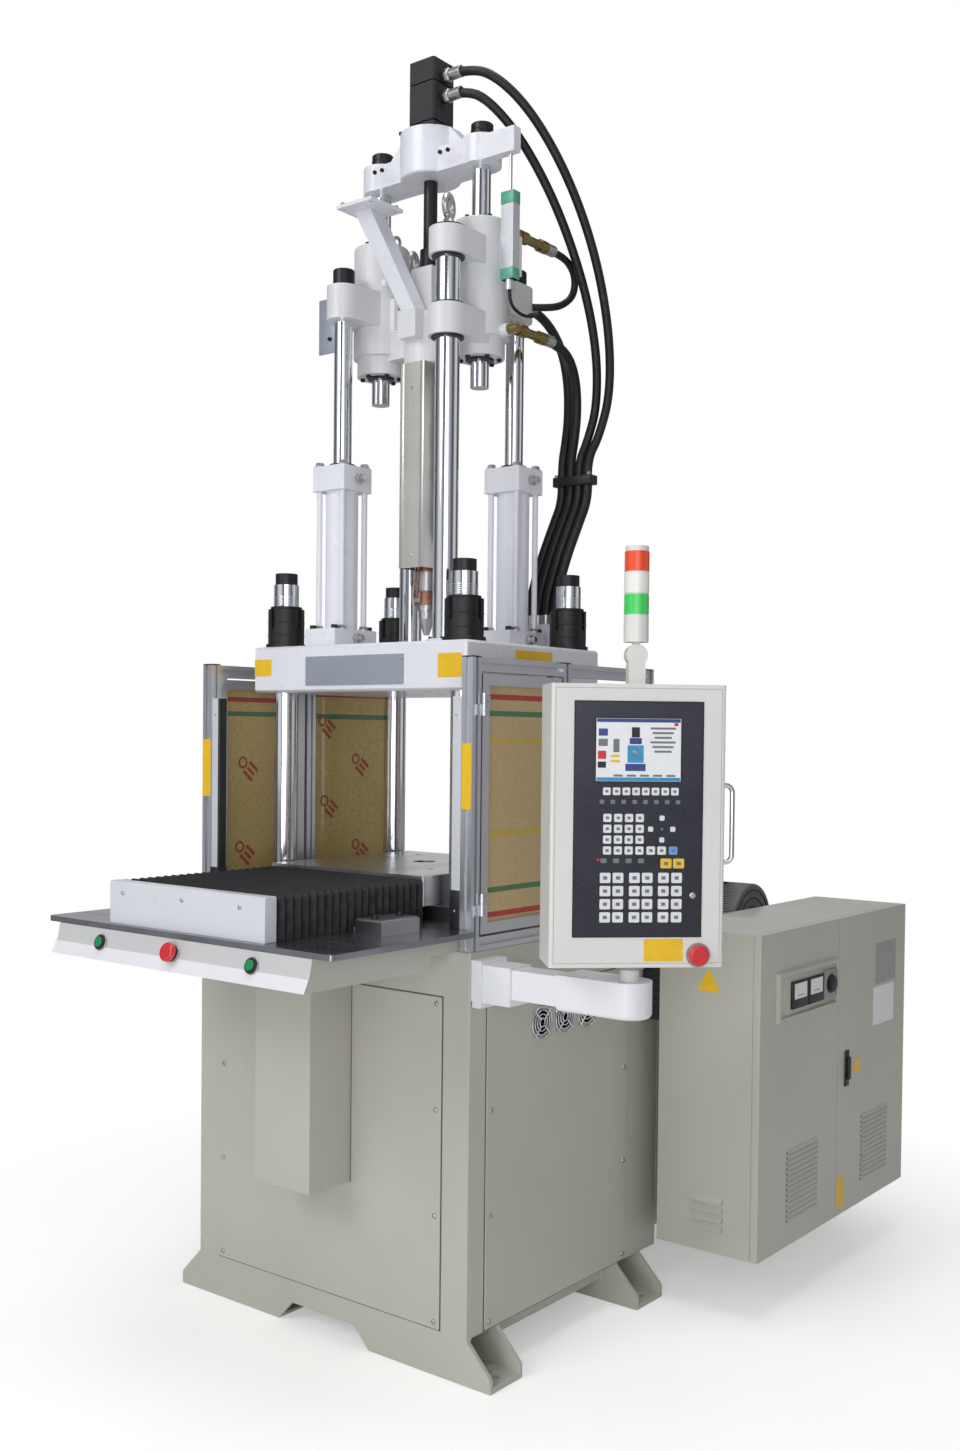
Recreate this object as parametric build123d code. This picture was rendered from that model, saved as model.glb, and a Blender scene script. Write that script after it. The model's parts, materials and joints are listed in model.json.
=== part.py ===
from build123d import *
import math
import os

# Vertical injection moulding machine with a sliding lower table.
# Millimetres, +Z up. The origin is on the floor, under the axis of the tie bars.
# -Y faces the operator, +X is the side of the operator pendant.

# Clearances
run_gap = 0.05            # radial clearance of a rod in its bore
move_gap = 0.3            # gap between faces that pass each other
overrun = 4.0             # how far a cut passes the face it opens

# Base frame
axis_to_rear = 421.0
base_bottom = 98.0
base_wall = 8.0
deck_thickness = 16.0
deck_hole_clearance = 12.0
foot_overhang = 66.0
foot_length = 117.0
foot_edge = 30.0
foot_plate = 14.0
foot_gusset = 12.0
foot_spacing_y = 583.0
foot_hole_radius = 11.0
arch_height = 48.0
arch_top_width = 200.0
arch_bottom_width = 290.0
skirt_inset = 40.0
skirt_drop = 45.0

# Panels on the base
panel_thickness = 3.0
panel_lap = 30.0
panel_low_margin = 6.0
panel_height = 724.0
panel_top_margin = 104.0     # from the panels' top edge up to the top of the base
front_panel_width = 706.0
side_panel_front = 290.0
side_panel_rear = 275.0
service_box_width = 174.0
service_box_depth = 131.0
service_box_bottom = 375.0
sheet = 3.0
vent_radius = 30.0
vent_spacing = 91.0
vent_drop = 83.0
vent_count = 3

# Platens, tie bars and clamp
platen_width = 679.0
platen_side_margin = 87.5     # from the platen's side out to the side of the base
platen_depth = 526.0
platen_front_margin = 87.0    # from the platen's front out to the front of the base
platen_thickness = 112.0
platen_chamfer = 6.0
lower_platen_thickness = 78.0
daylight = 416.0
tie_edge_x = 55.0
tie_edge_y = 58.0
tie_radius = 28.5
tie_nut_radius = 45.0
tie_nut_height = 95.0
tie_nut_slot = 10.0
tie_sleeve_radius = 31.0
tie_sleeve_height = 61.0
tie_stud_radius = 16.0
lock_nut_radius = 27.5
lock_nut_height = 28.0
low_nut_height = 30.0
nozzle_hole_radius = 48.0
mould_bolt_spacing = 280.0
mould_bolt_radius = 8.0
mould_bolt_depth = 40.0
ejector_hole_radius = 28.0
clamp_stroke = 200.0
clamp_plate_thickness = 90.0
clamp_plate_drop = 482.0      # from the top of the base down to the top of the clamp plate
clamp_cylinder_radius = 140.0
clamp_cylinder_gland = 30.0
clamp_cylinder_head = 22.0
clamp_bore_radius = 100.0
clamp_rod_radius = 60.0
clamp_piston_height = 70.0

# Sliding table, tray and console
slide_width = 486.0
slide_front = 290.0
slide_rear = 220.0
slide_thickness = 67.0
slide_chamfer = 3.0
tray_overhang = 15.0
tray_front = 786.0
tray_thickness = 12.0
tray_corner = 10.0
tray_gap = 5.0
way_width = 50.0
way_offset = 150.0
cover_front = 770.0
cover_depth = 33.0
cover_drop = 7.0
fold_count = 20
fold_depth = 8.0
bellows_skin = 4.0
bellows_drop = 7.0
block_left = 270.0
block_width = 75.0
block_front = 540.0
block_length = 120.0
block_height = 32.0
block_chamfer = 4.0
console_side_gap = 33.0
console_rear_height = 34.0
console_drop = 64.0
console_front_top = 790.0
console_front_mid = 796.0
console_front_low = 812.0
console_mid_drop = 32.0
console_back = 440.0
console_back_radius = 24.0
console_seat = 70.0
button_spacing = 237.0
button_drop = 29.0
button_tilt = 19.0
bezel_radius = 15.5
bezel_height = 8.0
button_radius = 11.0
button_length = 16.0
button_proud = 3.5
button_travel = 3.0
stop_head_radius = 20.0
stop_head_height = 11.0
stop_travel = 4.0

# Guards of slotted profile
profile = 30.0
profile_slot = 8.0
profile_slot_depth = 7.0
guard_height = 628.0
guard_rear = 380.0
guard_mid_front = -15.0
door_clearance = 5.0
door_tube = 24.0
pane_thickness = 5.0
hinge_radius = 6.0
hinge_pin_radius = 3.0
hinge_half = 24.0
hinge_leaf = 3.0
hinge_leaf_width = 22.0
hinge_inset = 70.0
curtain_width = 28.0
curtain_inset = 45.0
curtain_length = 500.0

# Lift cylinders and guide columns
column_x = 167.0
column_y = 131.0
guide_radius = 29.5
guide_seat = 50.0
flange_width = 100.0
flange_length = 150.0
flange_height = 45.0
lift_length = 340.0
lift_tube_radius = 40.0
lift_bore_radius = 31.0
lift_head = 106.0
lift_head_height = 60.0
lift_head_chamfer = 4.0
lift_stay_radius = 7.0
lift_stay_offset = 39.0
lift_stay_nut = 12.0
lift_rod_radius = 22.5
lift_piston_height = 25.0
lift_stroke = 200.0
lift_end_gap = 8.0
lift_nut_radius = 27.0
lift_nut_height = 42.0

# Carriage casting: heights are measured from its lower face
carriage_lift = 692.0
injection_spacing = 320.0
housing_radius = 70.0
housing_height = 323.0
cap_radius = 60.0
cap_height = 45.0
housing_round = 8.0
lug_low = 24.0
lug_low_height = 71.0
lug_high = 210.0
lug_high_height = 63.0
lug_radius = 46.0
lug_root_radius = 52.0
boss_low = 115.0
boss_height = 83.0
boss_radius = 42.0
web_low = 30.0
web_high = 130.0
web_thickness = 64.0
throat_low = 5.0
throat_high = 128.0
throat_radius = 62.0
sleeve_high = 243.0
sleeve_width = 66.0
feed_seat_width = 56.0
feed_seat_front = 86.0
feed_seat_low = 60.0
feed_seat_high = 128.0
feed_slot_width = 26.0
feed_slot_low = 85.0
feed_slot_wall = 12.0
gland_height = 45.0
injection_bore_radius = 45.0
injection_rod_radius = 22.5
injection_piston_height = 40.0
injection_piston_gap = 33.0
injection_stub = 69.0
injection_stroke = 100.0
port_radius = 15.0
port_length = 18.0
port_low = 58.0
port_high = 278.0
fitting_radius = 11.0
fitting_nut_radius = 15.0
fitting_nut_length = 26.0
fitting_length = 120.0
transducer_width = 36.0
transducer_depth = 26.0
transducer_length = 204.0
transducer_low = 163.0
transducer_plug = 24.0
transducer_plug_radius = 11.0
transducer_gap = 20.0
transducer_front = 40.0
transducer_bar = 10.0
transducer_rod_radius = 4.0
transducer_rod_length = 190.0

# Barrel, cover and feed chute
barrel_radius = 24.0
barrel_bore_radius = 16.3
barrel_bottom_gap = 95.0      # from the top of the upper platen up to the barrel's lower end
nozzle_length = 60.0
nozzle_tip_radius = 7.0
nozzle_body_radius = 20.0
nozzle_bore_radius = 3.0
band_thickness = 7.0
band_height = 34.0
band_pitch = 82.0
band_count = 7
band_start = 14.0
jacket_width = 76.0
jacket_front = 62.0
jacket_rear = 45.0
jacket_sheet = 2.0
jacket_bottom_gap = 197.0     # from the top of the upper platen up to the cover's lower edge
chute_top_x = -70.0
chute_top_y = -145.0
chute_top_rise = 355.0
chute_top_size = 50.0
chute_low_size = 44.0
chute_low_y = -60.0
chute_wall = 3.0
hopper_flange = 114.0
hopper_flange_x = -58.0
hopper_flange_y = -158.0
hopper_flange_thickness = 8.0
hopper_bolt_spacing = 90.0
hopper_bolt_radius = 4.5

# Crosshead, motor and screw
crosshead_gap = 135.0         # from the top of the housings up to the crosshead
arm_height = 57.0
arm_thickness = 92.0
arm_end_radius = 48.0
arm_boss_height = 8.0
hub_height = 112.0
hub_radius = 76.0
hub_round = 6.0
rib_thickness = 40.0
rib_reach = 128.0
motor_size = 80.0
motor_height = 173.0
motor_flange = 20.0
motor_groove = 4.0
motor_port_radius = 14.0
motor_port_length = 22.0
motor_port_low = 85.0
motor_port_high = 135.0
rod_nut_radius = 27.0
rod_nut_height = 36.0
screw_radius = 16.0
screw_bottom_gap = 102.0
coupling_radius = 25.0
coupling_low = 245.0
coupling_height = 45.0
spline_radius = 17.0

# Operator pendant and its arm
arm_y = -300.0
bracket_thickness = 26.0
bracket_width = 90.0
bracket_drop = 117.0         # from the top of the base down to the foot of the bracket
bracket_height = 101.0
arm_drop = 106.0             # from the top of the base down to the underside of the arm
arm_one_length = 71.0
arm_one_height = 81.0
arm_one_width = 76.0
arm_two_length = 123.0
arm_two_drop = 15.0
arm_two_height = 62.0
arm_two_width = 62.0
elbow_drop = 9.0
elbow_height = 74.0
elbow_radius = 46.0
elbow_reach = 146.0
elbow_round = 10.0
neck_radius = 20.0
neck_length = 36.0
neck_depth = 50.0
pendant_yaw = 44.0
pendant_width = 345.0
pendant_height = 552.0
pendant_depth = 130.0
pendant_round = 6.0
pendant_wall = 4.0
keypad_ledge = 10.0
keypad_width = 250.0
keypad_low_margin = 62.0
keypad_depth = 4.0
keypad_top_margin = 36.0
pendant_stop_side = 122.0
pendant_stop_rise = 24.0
handle_radius = 5.0
handle_reach = 24.0
handle_bend = 14.0
handle_low = 203.0
handle_length = 152.0
handle_set = -30.0
foot_block_width = 34.0
foot_block_depth = 30.0
foot_block_height = 39.0
knuckle_radius = 22.0
knuckle_thickness = 12.0
fork_thickness = 7.0
pivot_radius = 4.0
tower_radius = 25.0
tower_set_back = 38.0
tower_side = 13.0
tower_base_height = 56.0
tower_light_height = 43.0
tower_light_count = 3
tower_cap_height = 11.0
tower_groove = 1.5
tower_groove_height = 3.0

# Electrical cabinet, oil tank and pump
cabinet_gap = 58.0
cabinet_width = 275.0
cabinet_front = 332.0
cabinet_length = 881.0
cabinet_bottom = 148.0
cabinet_height = 780.0
cabinet_wall = 3.0
cabinet_door_depth = 20.0
cabinet_door_sheet = 3.0
cabinet_door_gap = 3.0
grille_count = 14
grille_slot = 6.0
grille_pitch = 13.0
grille_width = 172.0
grille_low = 60.0
grille_offset = 18.0
louvre_count = 4
louvre_width = 83.0
louvre_low = 58.0
louvre_pitch = 22.0
louvre_offset = 99.0
meter_width = 320.0
meter_height = 100.0
meter_top = 110.0
meter_offset = 32.0
meter_frame = 10.0
hanger_height = 60.0
hanger_low = 250.0
hanger_pitch = 330.0
hanger_start = 520.0
hanger_length = 560.0
tank_bottom = 148.0
tank_height = 552.0
tank_length = 770.0
tank_lid = 10.0
tank_wall = 6.0
tank_lid_lap = 8.0
leg_size = 90.0
leg_inset = 60.0
filler_radius = 38.0
filler_bore_radius = 30.0
filler_height = 60.0
pump_axis_height = 160.0
pump_axis_set = 560.0
pump_motor_radius = 110.0
pump_motor_length = 270.0
pump_cowl_radius = 116.0
pump_cowl_length = 70.0
pump_bell_radius = 80.0
pump_bell_length = 90.0
pump_radius = 62.0
pump_length = 130.0
pump_fin = 6.0
pump_fin_count = 12
pump_foot_width = 180.0
pump_foot_length = 190.0
pump_right = 400.0

# Hoses and conduits
motor_hose_radius = 11.0
bundle_radius = 12.0
loop_radius = 9.0
lead_radius = 4.0
conduit_radius = 6.0
hose_block_depth = 32.0
hose_block_height = 70.0
hose_block_margin = 16.0
hose_pitch = 26.0
hose_count = 4
first_hose_x = 140.0
clamp_first_x = 196.0
clamp_y = 300.0
clamp_rise = 423.0            # from the top of the upper platen up to the hose clamp
clamp_height = 24.0
clamp_margin = 18.0
boss_hose_height = 163.0
loop_end_angle = 45.0
lead_end_height = 128.0
conduit_x = 70.0
conduit_y = 12.0
conduit_end = 56.0
duct_front = 345.0
duct_length = 60.0
duct_drop = 242.0             # from the top of the base down to the foot of the duct
duct_height = 190.0
bend_share = 0.45

# Derived places
base_half = platen_width / 2 + platen_side_margin
base_height = panel_low_margin + panel_height + panel_top_margin
base_top = base_bottom + base_height
bed_top = base_top + lower_platen_thickness
guard_top = base_top + guard_height
bracket_low = base_top - bracket_drop
arm_low = base_top - arm_drop
duct_bottom = base_top - duct_drop
table_bottom = bed_top + move_gap
table_top = table_bottom + slide_thickness
platen_bottom = table_top + daylight
platen_top = platen_bottom + platen_thickness
platen_half_x = platen_width / 2
platen_half_y = platen_depth / 2
axis_to_front = platen_half_y + platen_front_margin
tie_x = platen_half_x - tie_edge_x
tie_y = platen_half_y - tie_edge_y
console_top = base_top + console_rear_height
tray_top = console_top + tray_thickness
cover_rear = cover_front - cover_depth
slide_half = slide_width / 2
panel_low = base_bottom + panel_low_margin
panel_high = panel_low + panel_height
vent_height = panel_high - vent_drop
console_half = base_half - console_side_gap
clamp_plate_top = base_top - clamp_plate_drop
clamp_plate_bottom = clamp_plate_top - clamp_plate_thickness
tie_sleeve_low = platen_top + tie_nut_height
tie_sleeve_top = tie_sleeve_low + tie_sleeve_height
lift_head_low = platen_top + flange_height + lift_length
lift_head_top = lift_head_low + lift_head_height
carriage_bottom = platen_top + carriage_lift
housing_top = carriage_bottom + housing_height
injection_x = injection_spacing / 2
crosshead_bottom = housing_top + crosshead_gap
arm_top = crosshead_bottom + arm_height
hub_top = crosshead_bottom + hub_height
barrel_bottom = platen_top + barrel_bottom_gap
barrel_top = carriage_bottom + throat_high
jacket_bottom = platen_top + jacket_bottom_gap
jacket_top = carriage_bottom + throat_low
elbow_x = base_half + bracket_thickness + arm_one_length + arm_two_length + elbow_reach
elbow_top = arm_low + elbow_drop + elbow_height
pendant_low = elbow_top + neck_length
pendant_high = pendant_low + pendant_height
keypad_low = pendant_low + keypad_low_margin
keypad_high = pendant_high - keypad_top_margin
tower_axis_z = pendant_high + foot_block_height + knuckle_radius
post_inner = base_half - profile
hinge_x = base_half + hinge_radius
hinge_y = -axis_to_front + profile + door_clearance / 2
cabinet_left = base_half + cabinet_gap
cabinet_right = cabinet_left + cabinet_width
cabinet_door_left = cabinet_right - cabinet_door_depth
cabinet_top = cabinet_bottom + cabinet_height
tank_top = tank_bottom + tank_height
tank_rear = axis_to_rear + tank_length

os.makedirs("parts", exist_ok=True)
LOW = (Align.CENTER, Align.CENTER, Align.MIN)


def save(name, *pieces):
    """Writes one node: a single solid, or a group of separate ones."""
    solids = [solid for piece in pieces for solid in piece.solids()]
    shape = solids[0] if len(solids) == 1 else Compound(children=solids)
    export_step(shape, f"parts/{name}.step")


def block(x0, x1, y0, y1, z0, z1):
    """A box between two corners."""
    centre = Pos((x0 + x1) / 2, (y0 + y1) / 2, (z0 + z1) / 2)
    return centre * Box(x1 - x0, y1 - y0, z1 - z0)


def upright(x, y, z0, z1, radius):
    """A vertical cylinder."""
    return Pos(x, y, z0) * Cylinder(radius, z1 - z0, align=LOW)


def along_x(x0, x1, y, z, radius):
    """A cylinder along X."""
    return Pos(x0, y, z) * Rot(0, 90, 0) * Cylinder(radius, x1 - x0, align=LOW)


def along_y(x, y0, y1, z, radius):
    """A cylinder along Y."""
    return Pos(x, y0, z) * Rot(-90, 0, 0) * Cylinder(radius, y1 - y0, align=LOW)


def prism_x(points, x0, x1):
    """A side profile of (y, z) points, drawn out along X."""
    face = make_face(Polyline(*[(x0, y, z) for y, z in points], close=True))
    return extrude(face, amount=x1 - x0, dir=(1, 0, 0))


def prism_y(points, y0, y1):
    """A front profile of (x, z) points, drawn out along Y."""
    face = make_face(Polyline(*[(x, y0, z) for x, z in points], close=True))
    return extrude(face, amount=y1 - y0, dir=(0, 1, 0))


def link(x0, y0, r0, x1, y1, r1, z0, z1):
    """Two round ends joined by their tangents, standing between two heights."""
    ends = (Pos(x0, y0) * Circle(r0)).edges() + (Pos(x1, y1) * Circle(r1)).edges()
    return extrude(Pos(0, 0, z0) * make_hull(ends), amount=z1 - z0)


def turned(solid):
    """The same solid turned half a turn about the machine's axis."""
    return Rot(0, 0, 180) * solid


def mirrored(solid):
    """The same solid on the other side of the machine."""
    return mirror(solid, about=Plane.YZ)


def four(x, y):
    """The four corners of a pattern."""
    return [(sx * x, sy * y) for sx in (-1, 1) for sy in (-1, 1)]


def profile_bar(length):
    """A slotted square bar standing on the XY plane."""
    half = profile / 2
    section = Rectangle(profile, profile)
    for turn in range(4):
        slot = Pos(half - profile_slot_depth / 2, 0) * Rectangle(profile_slot_depth, profile_slot)
        section -= Rot(0, 0, 90 * turn) * slot
    return extrude(section, amount=length)


def hose(points, radius):
    """A tube along straight runs with the widest arcs that the runs allow."""
    spots = [Vector(*point) for point in points]
    runs = [b - a for a, b in zip(spots, spots[1:])]
    radii = []
    for before, after in zip(runs, runs[1:]):
        half_turn = math.radians(before.get_angle(after)) / 2
        radii.append(bend_share * min(before.length, after.length) / math.tan(half_turn))
    path = FilletPolyline(*points, radius=radii)
    start = Plane(origin=spots[0], z_dir=runs[0])
    tube = sweep(start * Circle(radius), path=path)
    expected = math.pi * radius**2 * path.length
    print(f"hose r{radius}: length {path.length:.0f}, volume share {tube.volume / expected:.4f},",
          "radii", [round(r) for r in radii])
    return tube


# Base


def foot_beam(y0, y1):
    """A cross beam with an arch under it and a foot at each end."""
    reach = base_half + foot_overhang
    right = [(arch_top_width / 2, arch_height), (arch_bottom_width / 2, 0), (reach, 0),
             (reach, foot_edge), (base_half, base_bottom)]
    left = [(-x, z) for x, z in reversed(right)]
    beam = prism_y(right + left, y0, y1)
    beam -= block(-reach - overrun, reach + overrun, y0 + foot_gusset, y1 - foot_gusset,
                  foot_plate, base_bottom)
    for x in (-1, 1):
        hole_x = x * (base_half + foot_overhang / 2)
        beam -= upright(hole_x, (y0 + y1) / 2, -overrun, base_bottom, foot_hole_radius)
    return beam


def base_frame():
    outer = block(-base_half, base_half, -axis_to_front, axis_to_rear, base_bottom, base_top)
    inner = block(base_wall - base_half, base_half - base_wall, base_wall - axis_to_front,
                  axis_to_rear - base_wall, base_bottom + base_wall, base_top - deck_thickness)
    frame = outer - inner
    window_half = front_panel_width / 2 - panel_lap
    frame -= block(-window_half, window_half, -axis_to_front - overrun, base_wall + overrun - axis_to_front,
                   panel_low + panel_lap, panel_high - panel_lap)
    frame -= block(-base_half - overrun, base_half + overrun, panel_lap - side_panel_front,
                   side_panel_rear - panel_lap, panel_low + panel_lap, panel_high - panel_lap)
    deck_low = base_top - deck_thickness - overrun
    deck_high = base_top + overrun
    for x, y in four(tie_x, tie_y):
        frame -= upright(x, y, deck_low, deck_high, tie_radius + deck_hole_clearance)
    frame -= upright(0, 0, deck_low, deck_high, clamp_cylinder_radius + move_gap)
    half_foot = foot_length / 2
    for y in (-foot_spacing_y / 2, foot_spacing_y / 2):
        frame += foot_beam(y - half_foot, y + half_foot)
    skirt_y = foot_spacing_y / 2 - half_foot
    for x in (skirt_inset - base_half, base_half - skirt_inset - base_wall):
        frame += block(x, x + base_wall, -skirt_y, skirt_y, base_bottom - skirt_drop, base_bottom)
    return frame


def front_panel():
    """The screwed front panel with the service box that hangs under the console."""
    half = front_panel_width / 2
    panel_y = -axis_to_front - panel_thickness
    panel = block(-half, half, panel_y, -axis_to_front, panel_low, panel_high)
    box_half = service_box_width / 2
    box_top = console_top - console_drop - move_gap
    box = block(-box_half, box_half, panel_y - service_box_depth, panel_y, service_box_bottom, box_top)
    box -= block(sheet - box_half, box_half - sheet, panel_y - service_box_depth + sheet, panel_y,
                 service_box_bottom + sheet, box_top + overrun)
    return panel + box


def side_panel(side):
    """A side panel; the one at the right has three round vents."""
    x0, x1 = (base_half, base_half + panel_thickness)
    panel = block(x0, x1, -side_panel_front, side_panel_rear, panel_low, panel_high)
    if side > 0:
        for index in range(vent_count):
            y = (index - (vent_count - 1) / 2) * vent_spacing
            panel -= along_x(x0 - overrun, x1 + overrun, y, vent_height, vent_radius)
        return panel
    return mirrored(panel)


def clamp_cylinder():
    """The hydraulic cylinder that hangs from the lower platen inside the base."""
    low = clamp_plate_top + clamp_cylinder_gland
    body = upright(0, 0, low, base_top, clamp_cylinder_radius)
    body -= upright(0, 0, low + clamp_cylinder_gland, base_top - clamp_cylinder_head, clamp_bore_radius)
    body -= upright(0, 0, low - overrun, low + clamp_cylinder_gland + overrun, clamp_rod_radius + run_gap)
    return body


def clamp_rod():
    """The piston rod that stands on the clamp plate."""
    piston_low = clamp_plate_top + clamp_stroke + 2 * clamp_cylinder_gland + overrun
    rod = upright(0, 0, clamp_plate_top, piston_low, clamp_rod_radius)
    return rod + upright(0, 0, piston_low, piston_low + clamp_piston_height, clamp_bore_radius - run_gap)


def lower_platen():
    plate = block(-platen_half_x, platen_half_x, -platen_half_y, platen_half_y, base_top, bed_top)
    plate = chamfer(plate.edges().filter_by(Axis.Z), platen_chamfer)
    for x, y in four(tie_x, tie_y):
        plate -= upright(x, y, base_top - overrun, bed_top + overrun, tie_radius + run_gap)
    return plate


def clamp_plate():
    plate = block(-platen_half_x, platen_half_x, -platen_half_y, platen_half_y,
                  clamp_plate_bottom, clamp_plate_top)
    for x, y in four(tie_x, tie_y):
        plate -= upright(x, y, clamp_plate_bottom - overrun, clamp_plate_top + overrun, tie_radius)
    return plate


def upper_platen():
    """The upper platen, with a block at its rear edge that holds the hose ends."""
    plate = block(-platen_half_x, platen_half_x, -platen_half_y, platen_half_y, platen_bottom, platen_top)
    plate = chamfer(plate.edges(), platen_chamfer)
    for x, y in four(tie_x, tie_y):
        plate -= upright(x, y, platen_bottom - overrun, platen_top + overrun, tie_radius)
    for x, y in ((column_x, -column_y), (-column_x, column_y)):
        plate -= upright(x, y, platen_top - guide_seat, platen_top + overrun, guide_radius)
    plate -= upright(0, 0, platen_bottom - overrun, platen_top + overrun, nozzle_hole_radius)
    for x, y in four(mould_bolt_spacing / 2, mould_bolt_spacing / 2):
        plate -= upright(x, y, platen_bottom - overrun, platen_bottom + mould_bolt_depth, mould_bolt_radius)
    rear = platen_half_y - platen_chamfer
    last_x = first_hose_x + (hose_count - 1) * hose_pitch
    plate += block(first_hose_x - hose_block_margin, last_x + hose_block_margin, rear - hose_block_depth, rear,
                   platen_top, platen_top + hose_block_height)
    return plate


def tie_bars():
    bars = []
    for x, y in four(tie_x, tie_y):
        bar = upright(x, y, clamp_plate_bottom - low_nut_height, tie_sleeve_low, tie_radius)
        bar += upright(x, y, tie_sleeve_low, tie_sleeve_top, tie_sleeve_radius)
        bar += upright(x, y, tie_sleeve_top, tie_sleeve_top + lock_nut_height, tie_stud_radius)
        bars.append(bar)
    return bars


def tie_bar_nuts():
    """Slotted nuts above the platen, lock nuts on the studs and nuts under the clamp plate."""
    nuts = []
    for x, y in four(tie_x, tie_y):
        nut = upright(x, y, platen_top, tie_sleeve_low, tie_nut_radius)
        for turn in range(4):
            slot = Pos(tie_nut_radius, 0) * Rectangle(tie_nut_slot, tie_nut_slot)
            cut = extrude(Rot(0, 0, 90 * turn) * slot, amount=tie_nut_height)
            nut -= Pos(x, y, platen_top + tie_nut_height / 2) * cut
        nut -= upright(x, y, platen_top - overrun, tie_sleeve_low + overrun, tie_radius)
        lock = upright(x, y, tie_sleeve_top, tie_sleeve_top + lock_nut_height, lock_nut_radius)
        lock -= upright(x, y, tie_sleeve_top, tie_sleeve_top + lock_nut_height, tie_stud_radius)
        low = upright(x, y, clamp_plate_bottom - low_nut_height, clamp_plate_bottom, tie_nut_radius)
        low -= upright(x, y, clamp_plate_bottom - low_nut_height, clamp_plate_bottom, tie_radius)
        nuts += [nut, lock, low]
    return nuts


# Sliding table, tray and console


def slide_plate():
    plate = block(-slide_half, slide_half, -slide_front, slide_rear, table_bottom, table_top)
    plate = chamfer(plate.edges().filter_by(Axis.Z), slide_chamfer)
    for x, y in four(mould_bolt_spacing / 2, mould_bolt_spacing / 2):
        plate -= upright(x, y, table_top - mould_bolt_depth, table_top + overrun, mould_bolt_radius)
    return plate - upright(0, 0, table_bottom - overrun, table_top + overrun, ejector_hole_radius)


def tray():
    """The steel tray with the two ways that carry the slide plate forward."""
    half = base_half + tray_overhang
    rear = -platen_half_y - tray_gap
    plate = block(-half, half, -tray_front, -axis_to_front - tray_gap, console_top, tray_top)
    plate = fillet(plate.edges().filter_by(Axis.Z).group_by(Axis.Y)[0], tray_corner)
    tongue = post_inner - curtain_width - tray_gap
    plate += block(-tongue, tongue, -axis_to_front - tray_gap, rear, console_top, tray_top)
    for x in (-way_offset, way_offset):
        plate += block(x - way_width / 2, x + way_width / 2, -cover_rear, rear, tray_top, bed_top)
    return plate


def slide_cover():
    """The folded end cover at the front of the slide."""
    top = table_top - cover_drop
    cover = block(-slide_half, slide_half, -cover_front, -cover_rear, tray_top, top)
    cover = chamfer(cover.edges().filter_by(Axis.X).group_by(Axis.Z)[-1], sheet)
    return cover - block(sheet - slide_half, slide_half - sheet, sheet - cover_front, -cover_rear - sheet,
                         tray_top - overrun, top - sheet)


def bellows():
    """The folding cover between the end cover and the slide plate."""
    length = cover_rear - slide_front
    top = table_top - bellows_drop
    floor = tray_top + move_gap
    sections = []
    for index in range(2 * fold_count + 1):
        inset = fold_depth if index % 2 else 0
        y = -cover_rear + length * index / (2 * fold_count)
        height = top - inset - floor
        plane = Plane(origin=(0, y, floor), x_dir=(1, 0, 0), z_dir=(0, -1, 0))
        sections.append(plane * Rectangle(2 * (slide_half - inset), height, align=(Align.CENTER, Align.MIN)))
    outer = loft(sections, ruled=True)
    side = slide_half - fold_depth - bellows_skin
    return outer - block(-side, side, -cover_rear - overrun, overrun - slide_front, floor - overrun,
                         top - fold_depth - bellows_skin)


def stop_block():
    body = block(block_left, block_left + block_width, -block_front, block_length - block_front,
                 tray_top, tray_top + block_height)
    return chamfer(body.edges().group_by(Axis.Z)[-1], block_chamfer)


def button_frame(x):
    """A frame on the console's face, with Z pointing out of it."""
    tilt = math.radians(button_tilt)
    point = (x, -console_front_mid, console_top - button_drop)
    return Plane(origin=point, x_dir=(1, 0, 0), z_dir=(0, -math.cos(tilt), math.sin(tilt)))


def console():
    """The button console under the tray, with a bored bezel for each button."""
    low = console_top - console_drop
    front = [(-console_front_top, console_top), (-console_front_mid, console_top - console_mid_drop),
             (-console_front_low, low), (-console_back, low), (-console_back, base_top),
             (console_seat - axis_to_front, base_top), (console_seat - axis_to_front, console_top)]
    body = prism_x(front, -console_half, console_half)
    corner = body.edges().filter_by(Axis.X).filter_by_position(Axis.Z, low - move_gap, low + move_gap)
    body = fillet(corner.sort_by(Axis.Y)[-1], console_back_radius)
    for x in (-button_spacing, 0, button_spacing):
        frame = button_frame(x)
        body += frame * Pos(0, 0, -button_length) * Cylinder(bezel_radius, button_length + bezel_height, align=LOW)
        bore = Cylinder(button_radius + move_gap, button_length + bezel_height, align=LOW)
        body -= frame * Pos(0, 0, bezel_height - button_length) * bore
    return body


def start_button(x):
    """A flush push button that travels into its bezel."""
    length = button_length - button_travel - move_gap + button_proud
    stem = Cylinder(button_radius, length, align=LOW)
    stem = chamfer(stem.edges().group_by(Axis.Z)[-1], button_travel / 3)
    return button_frame(x) * Pos(0, 0, bezel_height + button_proud - length) * stem


def mushroom():
    """A stop button with a domed head, standing on its bezel's face at Z zero."""
    stem_low = stop_travel + move_gap - button_length
    stem = Pos(0, 0, stem_low) * Cylinder(button_radius, stop_travel + move_gap - stem_low, align=LOW)
    head = Cylinder(stop_head_radius, stop_head_height, align=LOW)
    head = fillet(head.edges().group_by(Axis.Z)[-1], stop_head_height / 2)
    return stem + Pos(0, 0, stop_travel + move_gap) * head


# Guards


def standing_bar(x, y, z0, z1):
    return Pos(x, y, z0) * profile_bar(z1 - z0)


def lying_bar(x, y0, y1, z):
    return Pos(x, y0, z) * Rot(-90, 0, 0) * profile_bar(y1 - y0)


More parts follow.
